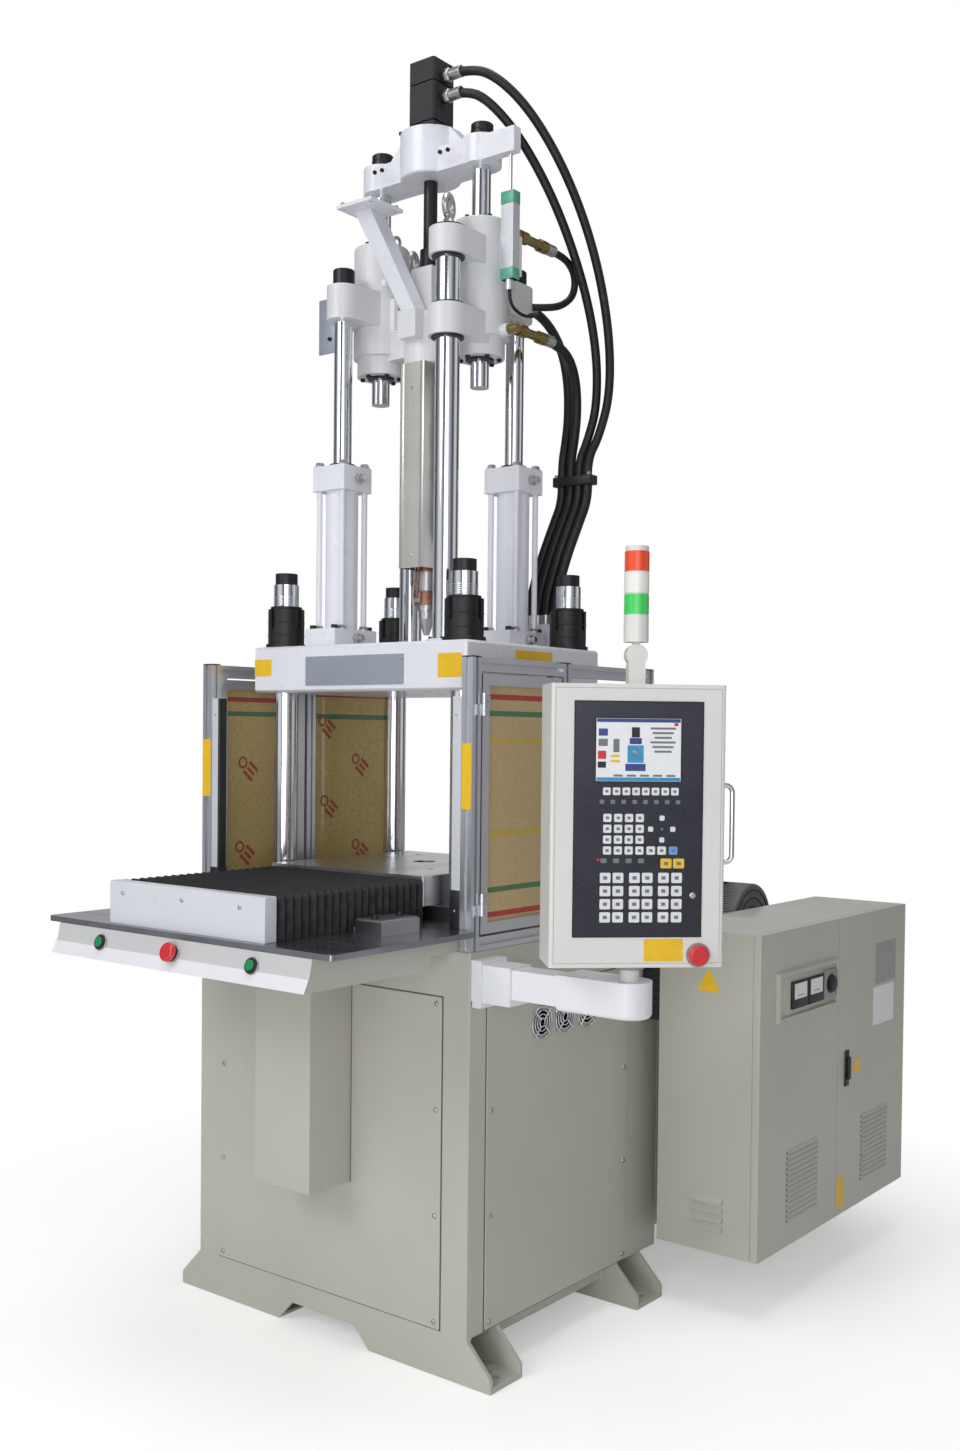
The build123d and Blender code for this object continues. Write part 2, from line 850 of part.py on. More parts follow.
def guard_frame():
    """Posts and rails of the right guard, with the fixed halves of the door's hinges."""
    x = base_half - profile / 2
    half = profile / 2
    front = -axis_to_front + half
    rear = guard_rear - half
    mid = guard_mid_front + half
    posts = [standing_bar(x, y, base_top, guard_top) for y in (front, mid, rear)]
    rails = []
    for z in (base_top + half, guard_top - half):
        rails.append(lying_bar(x, front + half, mid - half, z))
        rails.append(lying_bar(x, mid + half, rear - half, z))
    hinges = [fixed_hinge(z) for z in hinge_heights()]
    return posts + rails + hinges


def hinge_heights():
    return (base_top + profile + hinge_inset, guard_top - profile - hinge_inset)


def fixed_hinge(z):
    """The post's leaf with the lower knuckle and the pin."""
    leaf = block(base_half, base_half + hinge_leaf, hinge_y - hinge_leaf_width, hinge_y,
                 z - hinge_half, z - move_gap)
    knuckle = upright(hinge_x, hinge_y, z - hinge_half, z - move_gap, hinge_radius)
    pin = upright(hinge_x, hinge_y, z - move_gap, z + hinge_half, hinge_pin_radius)
    return leaf + knuckle + pin


def guard_door():
    """The right guard door: a tube frame with the moving halves of the hinges."""
    x1 = base_half - move_gap
    x0 = x1 - door_tube
    y0 = -axis_to_front + profile + door_clearance
    y1 = guard_mid_front - door_clearance
    z0 = base_top + profile + door_clearance
    z1 = guard_top - profile - door_clearance
    door = block(x0, x1, y0, y1, z0, z1)
    door -= block(x0 - overrun, x1 + overrun, y0 + door_tube, y1 - door_tube, z0 + door_tube, z1 - door_tube)
    for z in hinge_heights():
        leaf = block(x1, base_half + hinge_leaf, hinge_y, y0 + hinge_leaf_width, z, z + hinge_half)
        knuckle = upright(hinge_x, hinge_y, z, z + hinge_half, hinge_radius)
        door += leaf + knuckle
        door -= upright(hinge_x, hinge_y, z - overrun, z + hinge_half + overrun, hinge_pin_radius + run_gap)
    return door


def door_pane():
    """The pane that fills the door's tube frame."""
    x = base_half - move_gap - door_tube / 2
    half = pane_thickness / 2
    return block(x - half, x + half, door_tube + profile + door_clearance - axis_to_front,
                 guard_mid_front - door_clearance - door_tube,
                 base_top + profile + door_clearance + door_tube,
                 guard_top - profile - door_clearance - door_tube)


def rear_pane():
    """The fixed pane between the middle and rear posts of the left guard."""
    x = base_half - profile / 2
    half = profile_slot / 2
    edge = profile - profile_slot_depth
    return mirrored(block(x - half, x + half, guard_mid_front + edge, guard_rear - edge,
                          base_top + edge, guard_top - edge))


def light_curtain():
    low = base_top + curtain_inset
    y = -axis_to_front + profile / 2
    bar = block(post_inner - curtain_width, post_inner, y - curtain_width / 2, y + curtain_width / 2,
                low, low + curtain_length)
    return chamfer(bar.edges().filter_by(Axis.Z), curtain_width / 8)


# Injection unit


def lift_cylinder(x, y):
    """A square-headed cylinder held together by four stays."""
    flange = block(x - flange_width / 2, x + flange_width / 2, y - flange_length / 2, y + flange_length / 2,
                   platen_top, platen_top + flange_height)
    half = lift_head / 2
    head = block(x - half, x + half, y - half, y + half, lift_head_low, lift_head_top)
    head = chamfer(head.edges().filter_by(Axis.Z), lift_head_chamfer)
    body = flange + head + upright(x, y, platen_top + flange_height, lift_head_low, lift_tube_radius)
    for sx, sy in four(lift_stay_offset, lift_stay_offset):
        body += upright(x + sx, y + sy, platen_top + flange_height, lift_head_top + lift_stay_nut,
                        lift_stay_radius)
    body -= upright(x, y, platen_top + flange_height, lift_head_low, lift_bore_radius)
    return body - upright(x, y, lift_head_low - overrun, lift_head_top + overrun, lift_rod_radius + run_gap)


def lift_rod(x, y):
    """The rod and piston that raise the carriage, with the nut on its top."""
    piston_low = platen_top + flange_height + lift_end_gap + lift_stroke
    boss_top = carriage_bottom + boss_low + boss_height
    rod = upright(x, y, piston_low, boss_top, lift_rod_radius)
    rod += upright(x, y, piston_low, piston_low + lift_piston_height, lift_bore_radius - run_gap)
    nut = upright(x, y, boss_top, boss_top + lift_nut_height, lift_nut_radius)
    return [rod, chamfer(nut.edges().group_by(Axis.Z)[-1], lift_end_gap / 4)]


def carriage_side():
    """The right half of the carriage casting."""
    base = carriage_bottom
    housing = upright(injection_x, 0, base + cap_height, housing_top, housing_radius)
    housing = fillet(housing.edges().group_by(Axis.Z)[-1], housing_round)
    half = housing + upright(injection_x, 0, base, base + cap_height, cap_radius)
    for low, height in ((lug_low, lug_low_height), (lug_high, lug_high_height)):
        half += link(injection_x, 0, lug_root_radius, column_x, -column_y, lug_radius,
                     base + low, base + low + height)
    half += link(injection_x, 0, lug_root_radius, column_x, column_y, boss_radius,
                 base + boss_low, base + boss_low + boss_height)
    half += block(0, injection_x, -web_thickness / 2, web_thickness / 2, base + web_low, base + web_high)
    half -= upright(injection_x, 0, base - overrun, housing_top + overrun, injection_rod_radius + run_gap)
    half -= upright(injection_x, 0, base + gland_height, housing_top - gland_height, injection_bore_radius)
    half -= upright(column_x, -column_y, base, housing_top, guide_radius + run_gap)
    half -= upright(column_x, column_y, base, housing_top, lift_rod_radius)
    return half


def feed_slot():
    """The way from the foot of the chute into the barrel."""
    half = feed_slot_width / 2
    return block(-half, half, feed_slot_wall - feed_seat_front, 0, carriage_bottom + feed_slot_low,
                 carriage_bottom + feed_seat_high)


def carriage():
    """The casting that carries the barrel, the injection cylinders and the feed chute."""
    base = carriage_bottom
    right = carriage_side()
    for z in (port_low, port_high):
        x0 = injection_x + injection_bore_radius + overrun
        right += along_x(x0, injection_x + housing_radius + port_length, 0, base + z, port_radius)
    right += block(injection_x + injection_bore_radius + overrun,
                   injection_x + housing_radius + transducer_gap + transducer_width,
                   -transducer_front + transducer_depth,
                   -transducer_front + transducer_depth + transducer_bar,
                   base + transducer_low + transducer_bar, base + transducer_low + transducer_length / 2)
    body = right + turned(carriage_side())
    body += upright(0, 0, base + throat_low, base + throat_high, throat_radius)
    half = sleeve_width / 2
    body += block(-half, half, -half, half, base + throat_high, base + sleeve_high)
    body += block(-feed_seat_width / 2, feed_seat_width / 2, -feed_seat_front, 0,
                  base + feed_seat_low, base + feed_seat_high)
    body -= upright(0, 0, base, barrel_top, barrel_radius) + feed_slot()
    return body - upright(0, 0, barrel_top, base + sleeve_high + overrun, coupling_radius + move_gap)


def guide_columns():
    low = platen_top - guide_seat
    high = carriage_bottom + lug_high + lug_high_height
    return [upright(x, y, low, high, guide_radius) for x, y in ((column_x, -column_y), (-column_x, column_y))]


def hose_fittings():
    """Elbow fittings on the two ports of the right injection cylinder."""
    x0 = injection_x + housing_radius + port_length
    x1 = x0 + fitting_nut_radius
    fittings = []
    for z in (port_low, port_high):
        height = carriage_bottom + z
        elbow = along_x(x0, x1 + fitting_radius, 0, height, fitting_radius)
        elbow += along_y(x1, 0, fitting_length, height, fitting_radius)
        for y in (fitting_nut_radius, fitting_length - fitting_nut_length):
            elbow += along_y(x1, y, y + fitting_nut_length, height, fitting_nut_radius)
        fittings.append(elbow)
    return fittings


def transducer():
    """The linear transducer on the side of the carriage, with its plug below."""
    x0 = injection_x + housing_radius + transducer_gap
    low = carriage_bottom + transducer_low
    body = block(x0, x0 + transducer_width, -transducer_front, transducer_depth - transducer_front,
                 low, low + transducer_length)
    x = x0 + transducer_width / 2
    y = -transducer_front + transducer_depth / 2
    body += upright(x, y, low - transducer_plug, low, transducer_plug_radius)
    return body - upright(x, y, low + transducer_bar, low + transducer_length + overrun,
                          transducer_rod_radius + move_gap)


def transducer_rod():
    x = injection_x + housing_radius + transducer_gap + transducer_width / 2
    y = -transducer_front + transducer_depth / 2
    return upright(x, y, arm_top - transducer_rod_length, arm_top, transducer_rod_radius)


def barrel():
    body = upright(0, 0, barrel_bottom, barrel_top, barrel_radius) - feed_slot()
    return body - upright(0, 0, barrel_bottom - overrun, barrel_top + overrun, barrel_bore_radius)


def nozzle():
    """The turned nozzle under the barrel."""
    low = barrel_bottom - nozzle_length
    shoulder = barrel_bottom - nozzle_length / 3
    half = [(nozzle_bore_radius, barrel_bottom), (nozzle_body_radius, barrel_bottom),
            (nozzle_body_radius, shoulder), (nozzle_tip_radius, low), (nozzle_bore_radius, low)]
    face = make_face(Polyline(*[(x, 0, z) for x, z in half], close=True))
    return revolve(face, axis=Axis.Z)


def heater_bands():
    bands = []
    for index in range(band_count):
        low = barrel_bottom + band_start + index * band_pitch
        ring = upright(0, 0, low, low + band_height, barrel_radius + band_thickness)
        bands.append(ring - upright(0, 0, low, low + band_height, barrel_radius))
    return bands


def barrel_cover():
    """The folded cover around the barrel, open at the back and below."""
    half = jacket_width / 2
    cover = block(-half, half, -jacket_front, jacket_rear, jacket_bottom, jacket_top)
    cover -= block(jacket_sheet - half, half - jacket_sheet, jacket_sheet - jacket_front,
                   jacket_rear + overrun, jacket_bottom - overrun, jacket_top - jacket_sheet)
    return cover - upright(0, 0, jacket_bottom, jacket_top + overrun, barrel_radius + move_gap)


def feed_chute():
    """The hopper flange and the slanted square chute that feeds the throat."""
    low = carriage_bottom + feed_seat_high
    high = carriage_bottom + chute_top_rise

    def shaft(top_size, low_size):
        top = Pos(chute_top_x, chute_top_y, high) * Rectangle(top_size, top_size)
        bottom = Pos(0, chute_low_y, low) * Rectangle(low_size, low_size)
        return loft([bottom, top], ruled=True)

    wall = 2 * chute_wall
    half = hopper_flange / 2
    plate = block(hopper_flange_x - half, hopper_flange_x + half, hopper_flange_y - half,
                  hopper_flange_y + half, high, high + hopper_flange_thickness)
    for x, y in four(hopper_bolt_spacing / 2, hopper_bolt_spacing / 2):
        plate -= upright(hopper_flange_x + x, hopper_flange_y + y, high - overrun,
                         high + hopper_flange_thickness + overrun, hopper_bolt_radius)
    bore = (chute_top_size - wall) / 2
    plate -= block(chute_top_x - bore, chute_top_x + bore, chute_top_y - bore, chute_top_y + bore,
                   high - overrun, high + hopper_flange_thickness + overrun)
    return plate + (shaft(chute_top_size, chute_low_size) - shaft(chute_top_size - wall, chute_low_size - wall))


def crosshead():
    """The cast crosshead: two arms, a tall hub and ribs that run down to the arm ends."""
    half = arm_thickness / 2
    body = block(-injection_x, injection_x, -half, half, crosshead_bottom, arm_top)
    for x in (-injection_x, injection_x):
        body += upright(x, 0, crosshead_bottom, arm_top + arm_boss_height, arm_end_radius)
    hub = upright(0, 0, crosshead_bottom, hub_top, hub_radius)
    hub = fillet(hub.edges().group_by(Axis.Z)[0], hub_round)
    rib = [(-rib_reach, arm_top), (rib_reach, arm_top), (hub_radius, hub_top), (-hub_radius, hub_top)]
    body += prism_y(rib, -rib_thickness / 2, rib_thickness / 2) + hub
    x0 = injection_x + housing_radius + transducer_gap
    body += block(injection_x, x0 + transducer_width, -transducer_front, transducer_depth - transducer_front,
                  crosshead_bottom, arm_top)
    for x in (-injection_x, injection_x):
        body -= upright(x, 0, crosshead_bottom - overrun, arm_top + arm_boss_height + overrun,
                        injection_rod_radius)
    rod_x = x0 + transducer_width / 2
    rod_y = -transducer_front + transducer_depth / 2
    body -= upright(rod_x, rod_y, crosshead_bottom - overrun, arm_top + overrun, transducer_rod_radius)
    return body - upright(0, 0, crosshead_bottom - overrun, hub_top + overrun, spline_radius + run_gap)


def injection_rods():
    rods = []
    nut_seat = arm_top + arm_boss_height
    for x in (-injection_x, injection_x):
        rod = upright(x, 0, carriage_bottom - injection_stub, nut_seat, injection_rod_radius)
        high = housing_top - gland_height - injection_piston_gap
        rod += upright(x, 0, high - injection_piston_height, high, injection_bore_radius - run_gap)
        rods.append(rod)
    return rods


def rod_nuts():
    nuts = []
    seat = arm_top + arm_boss_height
    for x in (-injection_x, injection_x):
        nut = upright(x, 0, seat, seat + rod_nut_height, rod_nut_radius)
        nuts.append(chamfer(nut.edges().group_by(Axis.Z)[-1], arm_boss_height / 4))
    return nuts


def screw_motor():
    """The square hydraulic motor on the hub, with two hose ports on its right."""
    half = motor_size / 2
    body = block(-half, half, -half, half, hub_top, hub_top + motor_height)
    body = chamfer(body.edges().filter_by(Axis.Z), motor_groove)
    top = hub_top + motor_height
    for z in (hub_top + motor_flange, top - motor_height / 3):
        ring = block(-motor_size, motor_size, -motor_size, motor_size, z, z + motor_groove)
        ring -= block(motor_groove - half, half - motor_groove, motor_groove - half, half - motor_groove,
                      z - overrun, z + motor_groove + overrun)
        body -= ring
    for z in (motor_port_low, motor_port_high):
        body += along_x(half - overrun, half + motor_port_length, 0, hub_top + z, motor_port_radius)
    return body


def screw():
    """The screw, its coupling and the spline that the motor turns."""
    low = barrel_bottom + screw_bottom_gap
    coupling = carriage_bottom + coupling_low
    body = upright(0, 0, low, coupling, screw_radius)
    body += upright(0, 0, coupling, coupling + coupling_height, coupling_radius)
    return body + upright(0, 0, coupling + coupling_height, hub_top, spline_radius)


# Pendant


def pendant_place(shape):
    """Moves a shape from the pendant's own frame to its place on the arm."""
    return Pos(elbow_x, arm_y, 0) * Rot(0, 0, pendant_yaw) * shape


def pendant_arm():
    """The bolted bracket and the stepped arm with a round elbow."""
    x0 = base_half
    body = block(x0, x0 + bracket_thickness, arm_y - bracket_width / 2, arm_y + bracket_width / 2,
                 bracket_low, bracket_low + bracket_height)
    x1 = x0 + bracket_thickness
    x2 = x1 + arm_one_length
    x3 = x2 + arm_two_length
    body += block(x1, x2, arm_y - arm_one_width / 2, arm_y + arm_one_width / 2,
                  arm_low, arm_low + arm_one_height)
    low = arm_low + arm_two_drop
    body += block(x2, x3, arm_y - arm_two_width / 2, arm_y + arm_two_width / 2, low, low + arm_two_height)
    low = arm_low + elbow_drop
    elbow = block(x3, elbow_x, arm_y - elbow_radius, arm_y + elbow_radius, low, elbow_top)
    elbow += upright(elbow_x, arm_y, low, elbow_top, elbow_radius)
    elbow = fillet(elbow.edges().group_by(Axis.Z)[0], elbow_round)
    body += elbow
    body -= block(x0, x0 + panel_thickness + move_gap, arm_y - bracket_width, arm_y + bracket_width,
                  bracket_low, panel_high + move_gap)
    return body - upright(elbow_x, arm_y, elbow_top - neck_depth, elbow_top + overrun, neck_radius + run_gap)


def grab_handle():
    """The bent bar on the pendant's right side, in the pendant's own frame."""
    x0 = (pendant_width - pendant_wall) / 2
    x1 = pendant_width / 2 + handle_reach
    z0 = pendant_low + handle_low
    z1 = z0 + handle_length
    corners = [(x0, handle_set, z0), (x1, handle_set, z0), (x1, handle_set, z1), (x0, handle_set, z1)]
    start = Plane(origin=corners[0], z_dir=(1, 0, 0))
    return sweep(start * Circle(handle_radius), path=FilletPolyline(*corners, radius=handle_bend))


def stop_frame():
    """A frame on the pendant's face for its stop button, in the pendant's own frame."""
    point = (pendant_stop_side, -pendant_depth / 2, pendant_low + pendant_stop_rise)
    return Plane(origin=point, x_dir=(1, 0, 0), z_dir=(0, -1, 0))


def pendant_box():
    """The pendant housing with the keypad's recess, the stop button's bore and the swivel neck."""
    half = pendant_width / 2
    deep = pendant_depth / 2
    box = block(-half, half, -deep, deep, pendant_low, pendant_high)
    box = fillet(box.edges().filter_by(Axis.Z), pendant_round)
    box -= block(-keypad_width / 2, keypad_width / 2, -deep - overrun, keypad_depth - deep,
                 keypad_low, keypad_high)
    wall = pendant_wall
    box -= block(wall - half, half - wall, keypad_depth + wall - deep, deep - wall,
                 keypad_low + keypad_ledge, pendant_high - wall)
    ledge = keypad_width / 2 - keypad_ledge
    box -= block(-ledge, ledge, -deep, 0, keypad_low + keypad_ledge,
                 keypad_high - keypad_ledge)
    bore = Cylinder(button_radius + move_gap, button_length, align=LOW)
    box -= stop_frame() * Pos(0, 0, -button_length) * bore
    box += upright(0, 0, elbow_top - neck_depth + move_gap, pendant_low, neck_radius)
    return pendant_place(box + grab_handle())


def keypad_panel():
    deep = pendant_depth / 2
    return pendant_place(block(-keypad_width / 2, keypad_width / 2, -deep, keypad_depth - deep,
                               keypad_low, keypad_high))


def tower_place(shape):
    """Moves a shape from the tower's own frame to its place on the pendant."""
    return pendant_place(Pos(tower_side, 0, 0) * shape)


def tower_foot():
    """The foot on the pendant: a block with two cheeks around the tower's knuckle."""
    y = tower_set_back
    half = foot_block_width / 2
    deep = foot_block_depth / 2
    foot = block(-half, half, y - deep, y + deep, pendant_high, pendant_high + foot_block_height)
    gap = knuckle_thickness / 2 + move_gap
    for side in (-1, 1):
        y0 = y + side * gap
        y1 = y + side * (gap + fork_thickness)
        low, high = (min(y0, y1), max(y0, y1))
        foot += along_y(0, low, high, tower_axis_z, knuckle_radius)
        foot += block(-half, half, low, high, pendant_high + foot_block_height, tower_axis_z)
    foot -= along_y(0, y - gap, y + gap, tower_axis_z, knuckle_radius + move_gap)
    foot += along_y(0, y - gap, y + gap, tower_axis_z, pivot_radius)
    return tower_place(foot)


def signal_tower():
    """The folding tower: knuckle, base, three lights and a cap."""
    y = tower_set_back
    half = knuckle_thickness / 2
    tower = along_y(0, y - half, y + half, tower_axis_z, knuckle_radius)
    low = tower_axis_z + knuckle_radius
    tower += block(-half, half, y - half, y + half, tower_axis_z, low + overrun)
    tower += upright(0, y, low + overrun, low + tower_base_height, tower_radius)
    low += tower_base_height
    for index in range(tower_light_count):
        z = low + index * tower_light_height
        tower += upright(0, y, z, z + tower_groove_height, tower_radius - tower_groove)
        tower += upright(0, y, z + tower_groove_height, z + tower_light_height, tower_radius)
    top = low + tower_light_count * tower_light_height
    tower += upright(0, y, top, top + tower_cap_height, tower_radius - tower_groove)
    tower -= along_y(0, y - half - overrun, y + half + overrun, tower_axis_z, pivot_radius + run_gap)
    return tower_place(tower)


# Cabinet, tank and pump


def cabinet():
    """The open cabinet body with louvres at the front and hangers towards the tank."""
    rear = cabinet_front + cabinet_length
    body = block(cabinet_left, cabinet_door_left, cabinet_front, rear, cabinet_bottom, cabinet_top)
    body -= block(cabinet_left + cabinet_wall, cabinet_door_left + overrun, cabinet_front + cabinet_wall,
                  rear - cabinet_wall, cabinet_bottom + cabinet_wall, cabinet_top - cabinet_wall)
    x = cabinet_left + louvre_offset
    for index in range(louvre_count):
        z = cabinet_bottom + louvre_low + index * louvre_pitch
        body -= block(x, x + louvre_width, cabinet_front - overrun, cabinet_front + cabinet_wall + overrun,
                      z, z + grille_slot)
    for index in range(2):
        z = hanger_low + index * hanger_pitch
        body += block(base_half, cabinet_left, hanger_start, hanger_start + hanger_length, z, z + hanger_height)
    return body


def cabinet_door(y0, y1):
    """A folded door with a grille of slots near its foot."""
    z0 = cabinet_bottom
    x0 = cabinet_door_left + move_gap
    inner = cabinet_right - cabinet_door_sheet
    door = block(x0, cabinet_right, y0, y1, z0, cabinet_top)
    door -= block(x0 - overrun, inner, y0 + cabinet_door_sheet, y1 - cabinet_door_sheet,
                  z0 + cabinet_door_sheet, cabinet_top - cabinet_door_sheet)
    middle = (y0 + y1) / 2 + grille_offset
    for index in range(grille_count):
        z = z0 + grille_low + index * grille_pitch
        door -= block(inner - overrun, cabinet_right + overrun, middle - grille_width / 2,
                      middle + grille_width / 2, z, z + grille_slot)
    return door


def door_edges():
    """The Y places of the two cabinet doors."""
    rear = cabinet_front + cabinet_length
    middle = (cabinet_front + rear) / 2
    half_gap = cabinet_door_gap / 2
    return (cabinet_front, middle - half_gap), (middle + half_gap, rear)


def cabinet_door_front():
    """The front door also carries the framed meter window."""
    y0, y1 = door_edges()[0]
    door = cabinet_door(y0, y1)
    middle = (y0 + y1) / 2 + meter_offset
    z1 = cabinet_top - meter_top
    z0 = z1 - meter_height
    door += block(cabinet_right - cabinet_door_sheet, cabinet_right + meter_frame,
                  middle - meter_width / 2 - meter_frame, middle + meter_width / 2 + meter_frame,
                  z0 - meter_frame, z1 + meter_frame)
    return door - block(cabinet_right - cabinet_door_depth, cabinet_right + meter_frame + overrun,
                        middle - meter_width / 2, middle + meter_width / 2, z0, z1)


def oil_tank():
    """The oil tank behind the base, with its lid, filler and two rear legs."""
    body = block(-base_half, base_half, axis_to_rear, tank_rear, tank_bottom, tank_top - tank_lid)
    body += block(-base_half + tank_lid_lap, base_half - tank_lid_lap, axis_to_rear, tank_rear - tank_lid_lap,
                  tank_top - tank_lid, tank_top)
    for side in (-1, 1):
        x = side * (base_half - leg_inset - leg_size / 2)
        body += block(x - leg_size / 2, x + leg_size / 2, tank_rear - leg_inset - leg_size,
                      tank_rear - leg_inset, 0, tank_bottom)
    x = leg_inset - base_half + filler_radius
    y = tank_rear - leg_inset * 2
    body += upright(x, y, tank_top, tank_top + filler_height, filler_radius)
    body -= block(tank_wall - base_half, base_half - tank_wall, axis_to_rear + tank_wall,
                  tank_rear - tank_wall - tank_lid_lap, tank_bottom + tank_wall, tank_top - tank_lid)
    return body - upright(x, y, tank_top - tank_lid - overrun, tank_top + filler_height + overrun,
                          filler_bore_radius)


def pump_motor():
    """The finned pump motor lying along X, with its cowl, bell housing and pump."""
    y = axis_to_rear + pump_axis_set
    z = tank_top + pump_axis_height
    x1 = pump_right - pump_cowl_length
    x0 = x1 - pump_motor_length
    body = along_x(x0, x1, y, z, pump_motor_radius)
    for index in range(pump_fin_count):
        turn = Pos(0, y, z) * Rot(360 * index / pump_fin_count, 0, 0) * Pos(0, -y, -z)
        body += turn * block(x0, x1, y - pump_fin / 2, y + pump_fin / 2, z, z + pump_motor_radius + pump_fin)
    cowl = along_x(x1, pump_right, y, z, pump_cowl_radius)
    body += fillet(cowl.edges().group_by(Axis.X)[-1], pump_fin)
    body += along_x(x0 - pump_bell_length, x0, y, z, pump_bell_radius)
    body += along_x(x0 - pump_bell_length - pump_length, x0 - pump_bell_length, y, z, pump_radius)
    x = (x0 + x1) / 2
    return body + block(x - pump_foot_length / 2, x + pump_foot_length / 2, y - pump_foot_width / 2,
                        y + pump_foot_width / 2, tank_top, z)


def cable_duct():
    """The closed cable duct between the base and the cabinet."""
    return block(base_half, cabinet_left, duct_front, duct_front + duct_length,
                 duct_bottom, duct_bottom + duct_height)


# Hoses: each route is given as shares of the way from its start to its end, for X, Y and Z

motor_hose_upper_shares = [
    (0.203, 0, 0), (0.519, 0.06, 0.018), (0.84, 0.26, 0.102), (1.075, 0.55, 0.245),
    (1.208, 0.833, 0.423), (1.245, 1.033, 0.613), (1.198, 1.12, 0.781), (1.085, 1.073, 0.897),
    (1, 1, 0.955),
]
motor_hose_lower_shares = [
    (0.204, 0, 0), (0.505, 0.06, 0.025), (0.828, 0.267, 0.125), (1.065, 0.55, 0.28),
    (1.215, 0.817, 0.469), (1.258, 1, 0.647), (1.194, 1.08, 0.803), (1.075, 1.047, 0.903),
    (1, 1, 0.956),
]
port_hose_shares = [
    (0, 0.25, 0), (0.146, 0.622, 0.05), (0.488, 0.922, 0.196), (0.805, 1.078, 0.433),
    (0.951, 1.067, 0.678), (1, 1, 0.856),
]
boss_hose_shares = [
    (0, 0.331, 0), (0.172, 0.78, 0.06), (0.517, 1.11, 0.197), (0.793, 1.236, 0.393),
    (0.966, 1.205, 0.613), (1.017, 1.094, 0.785), (1, 1, 0.903),
]
bundle_shares = [
    (0, 0, 0.108), (0.214, 0.339, 0.278), (0.607, 0.712, 0.533), (0.857, 0.941, 0.746),
    (1, 1, 0.879),
]
loop_shares = [
    (0, 1.106, 0), (0.03, 2.506, 0.047), (0.121, 3.489, 0.259), (0.256, 3.686, 0.613),
    (0.377, 2.752, 0.888), (0.588, 1.671, 1),
]
lead_shares = [
    (0, 0, 1.664), (0, 0.095, 3.482), (0.034, 0.361, 4.209), (0.102, 0.646, 3.3),
    (0.305, 0.88, 1.845), (0.61, 1, 1),
]
conduit_shares = [
    (0, 0, 0.09), (-0.125, 0, 0.197), (0, 0, 0.314), (-0.156, 0, 0.421),
    (0, 0, 0.527), (-0.156, 0, 0.634), (0, 0, 0.741), (-0.156, 0, 0.847),
    (0, 0, 0.932), (0.344, 0, 1),
]


def route(start, end, shares):
    """The points of a hose between its two ends."""
    middle = [tuple(a + share * (b - a) for a, b, share in zip(start, end, row)) for row in shares]
    return [start] + middle + [end]


def clamp_place(index, z):
    return clamp_first_x + index * hose_pitch, clamp_y, z


def motor_hoses():
    """Two hoses from the motor's ports to the hose clamp."""
    x = motor_size / 2 + motor_port_length
    top = platen_top + clamp_rise + clamp_height
    last = hose_count - 1
    upper = route((x, 0, hub_top + motor_port_high), clamp_place(last, top), motor_hose_upper_shares)
    lower = route((x, 0, hub_top + motor_port_low), clamp_place(last - 1, top), motor_hose_lower_shares)
    return hose(upper, motor_hose_radius), hose(lower, motor_hose_radius)


def hose_bundle():
    """The hose clamp, the hoses from the carriage down to it and the four that go on to the platen."""
    low = platen_top + clamp_rise
    top = low + clamp_height
    last_x = clamp_first_x + (hose_count - 1) * hose_pitch
    pieces = [block(clamp_first_x - clamp_margin, last_x + clamp_margin, clamp_y - clamp_margin,
                    clamp_y + clamp_margin, low, top)]
    port_x = injection_x + housing_radius + port_length + fitting_nut_radius
    port_start = (port_x, fitting_length, carriage_bottom + port_low)
    pieces.append(hose(route(port_start, clamp_place(1, top), port_hose_shares), bundle_radius))
    boss_start = (column_x, column_y + boss_radius, carriage_bottom + boss_hose_height)
    pieces.append(hose(route(boss_start, clamp_place(0, top), boss_hose_shares), bundle_radius))
    end_y = platen_half_y - platen_chamfer - hose_block_depth / 2
    for index in range(hose_count):
        end = (first_hose_x + index * hose_pitch, end_y, platen_top + hose_block_height)
        pieces.append(hose(route(clamp_place(index, low), end, bundle_shares), bundle_radius))
    return pieces


def carriage_leads():
    """The looped hose, the transducer's lead and the heater conduit, all carried by the carriage."""
    port_x = injection_x + housing_radius + port_length + fitting_nut_radius
    loop_start = (port_x, fitting_length, carriage_bottom + port_high)
    turn = math.radians(loop_end_angle)
    loop_end = (column_x + boss_radius * math.cos(turn), column_y + boss_radius * math.sin(turn),
                carriage_bottom + boss_low + boss_height / 2)
    plug = (injection_x + housing_radius + transducer_gap + transducer_width / 2,
            transducer_depth / 2 - transducer_front, carriage_bottom + transducer_low - transducer_plug)
    lead_end = (column_x + boss_radius + move_gap, column_y, carriage_bottom + lead_end_height)
    conduit_start = (conduit_x, conduit_y, carriage_bottom + web_low)
    conduit_stop = (jacket_width / 2, conduit_y, jacket_bottom + conduit_end)
    return (hose(route(loop_start, loop_end, loop_shares), loop_radius),
            hose(route(plug, lead_end, lead_shares), lead_radius),
            hose(route(conduit_start, conduit_stop, conduit_shares), conduit_radius))


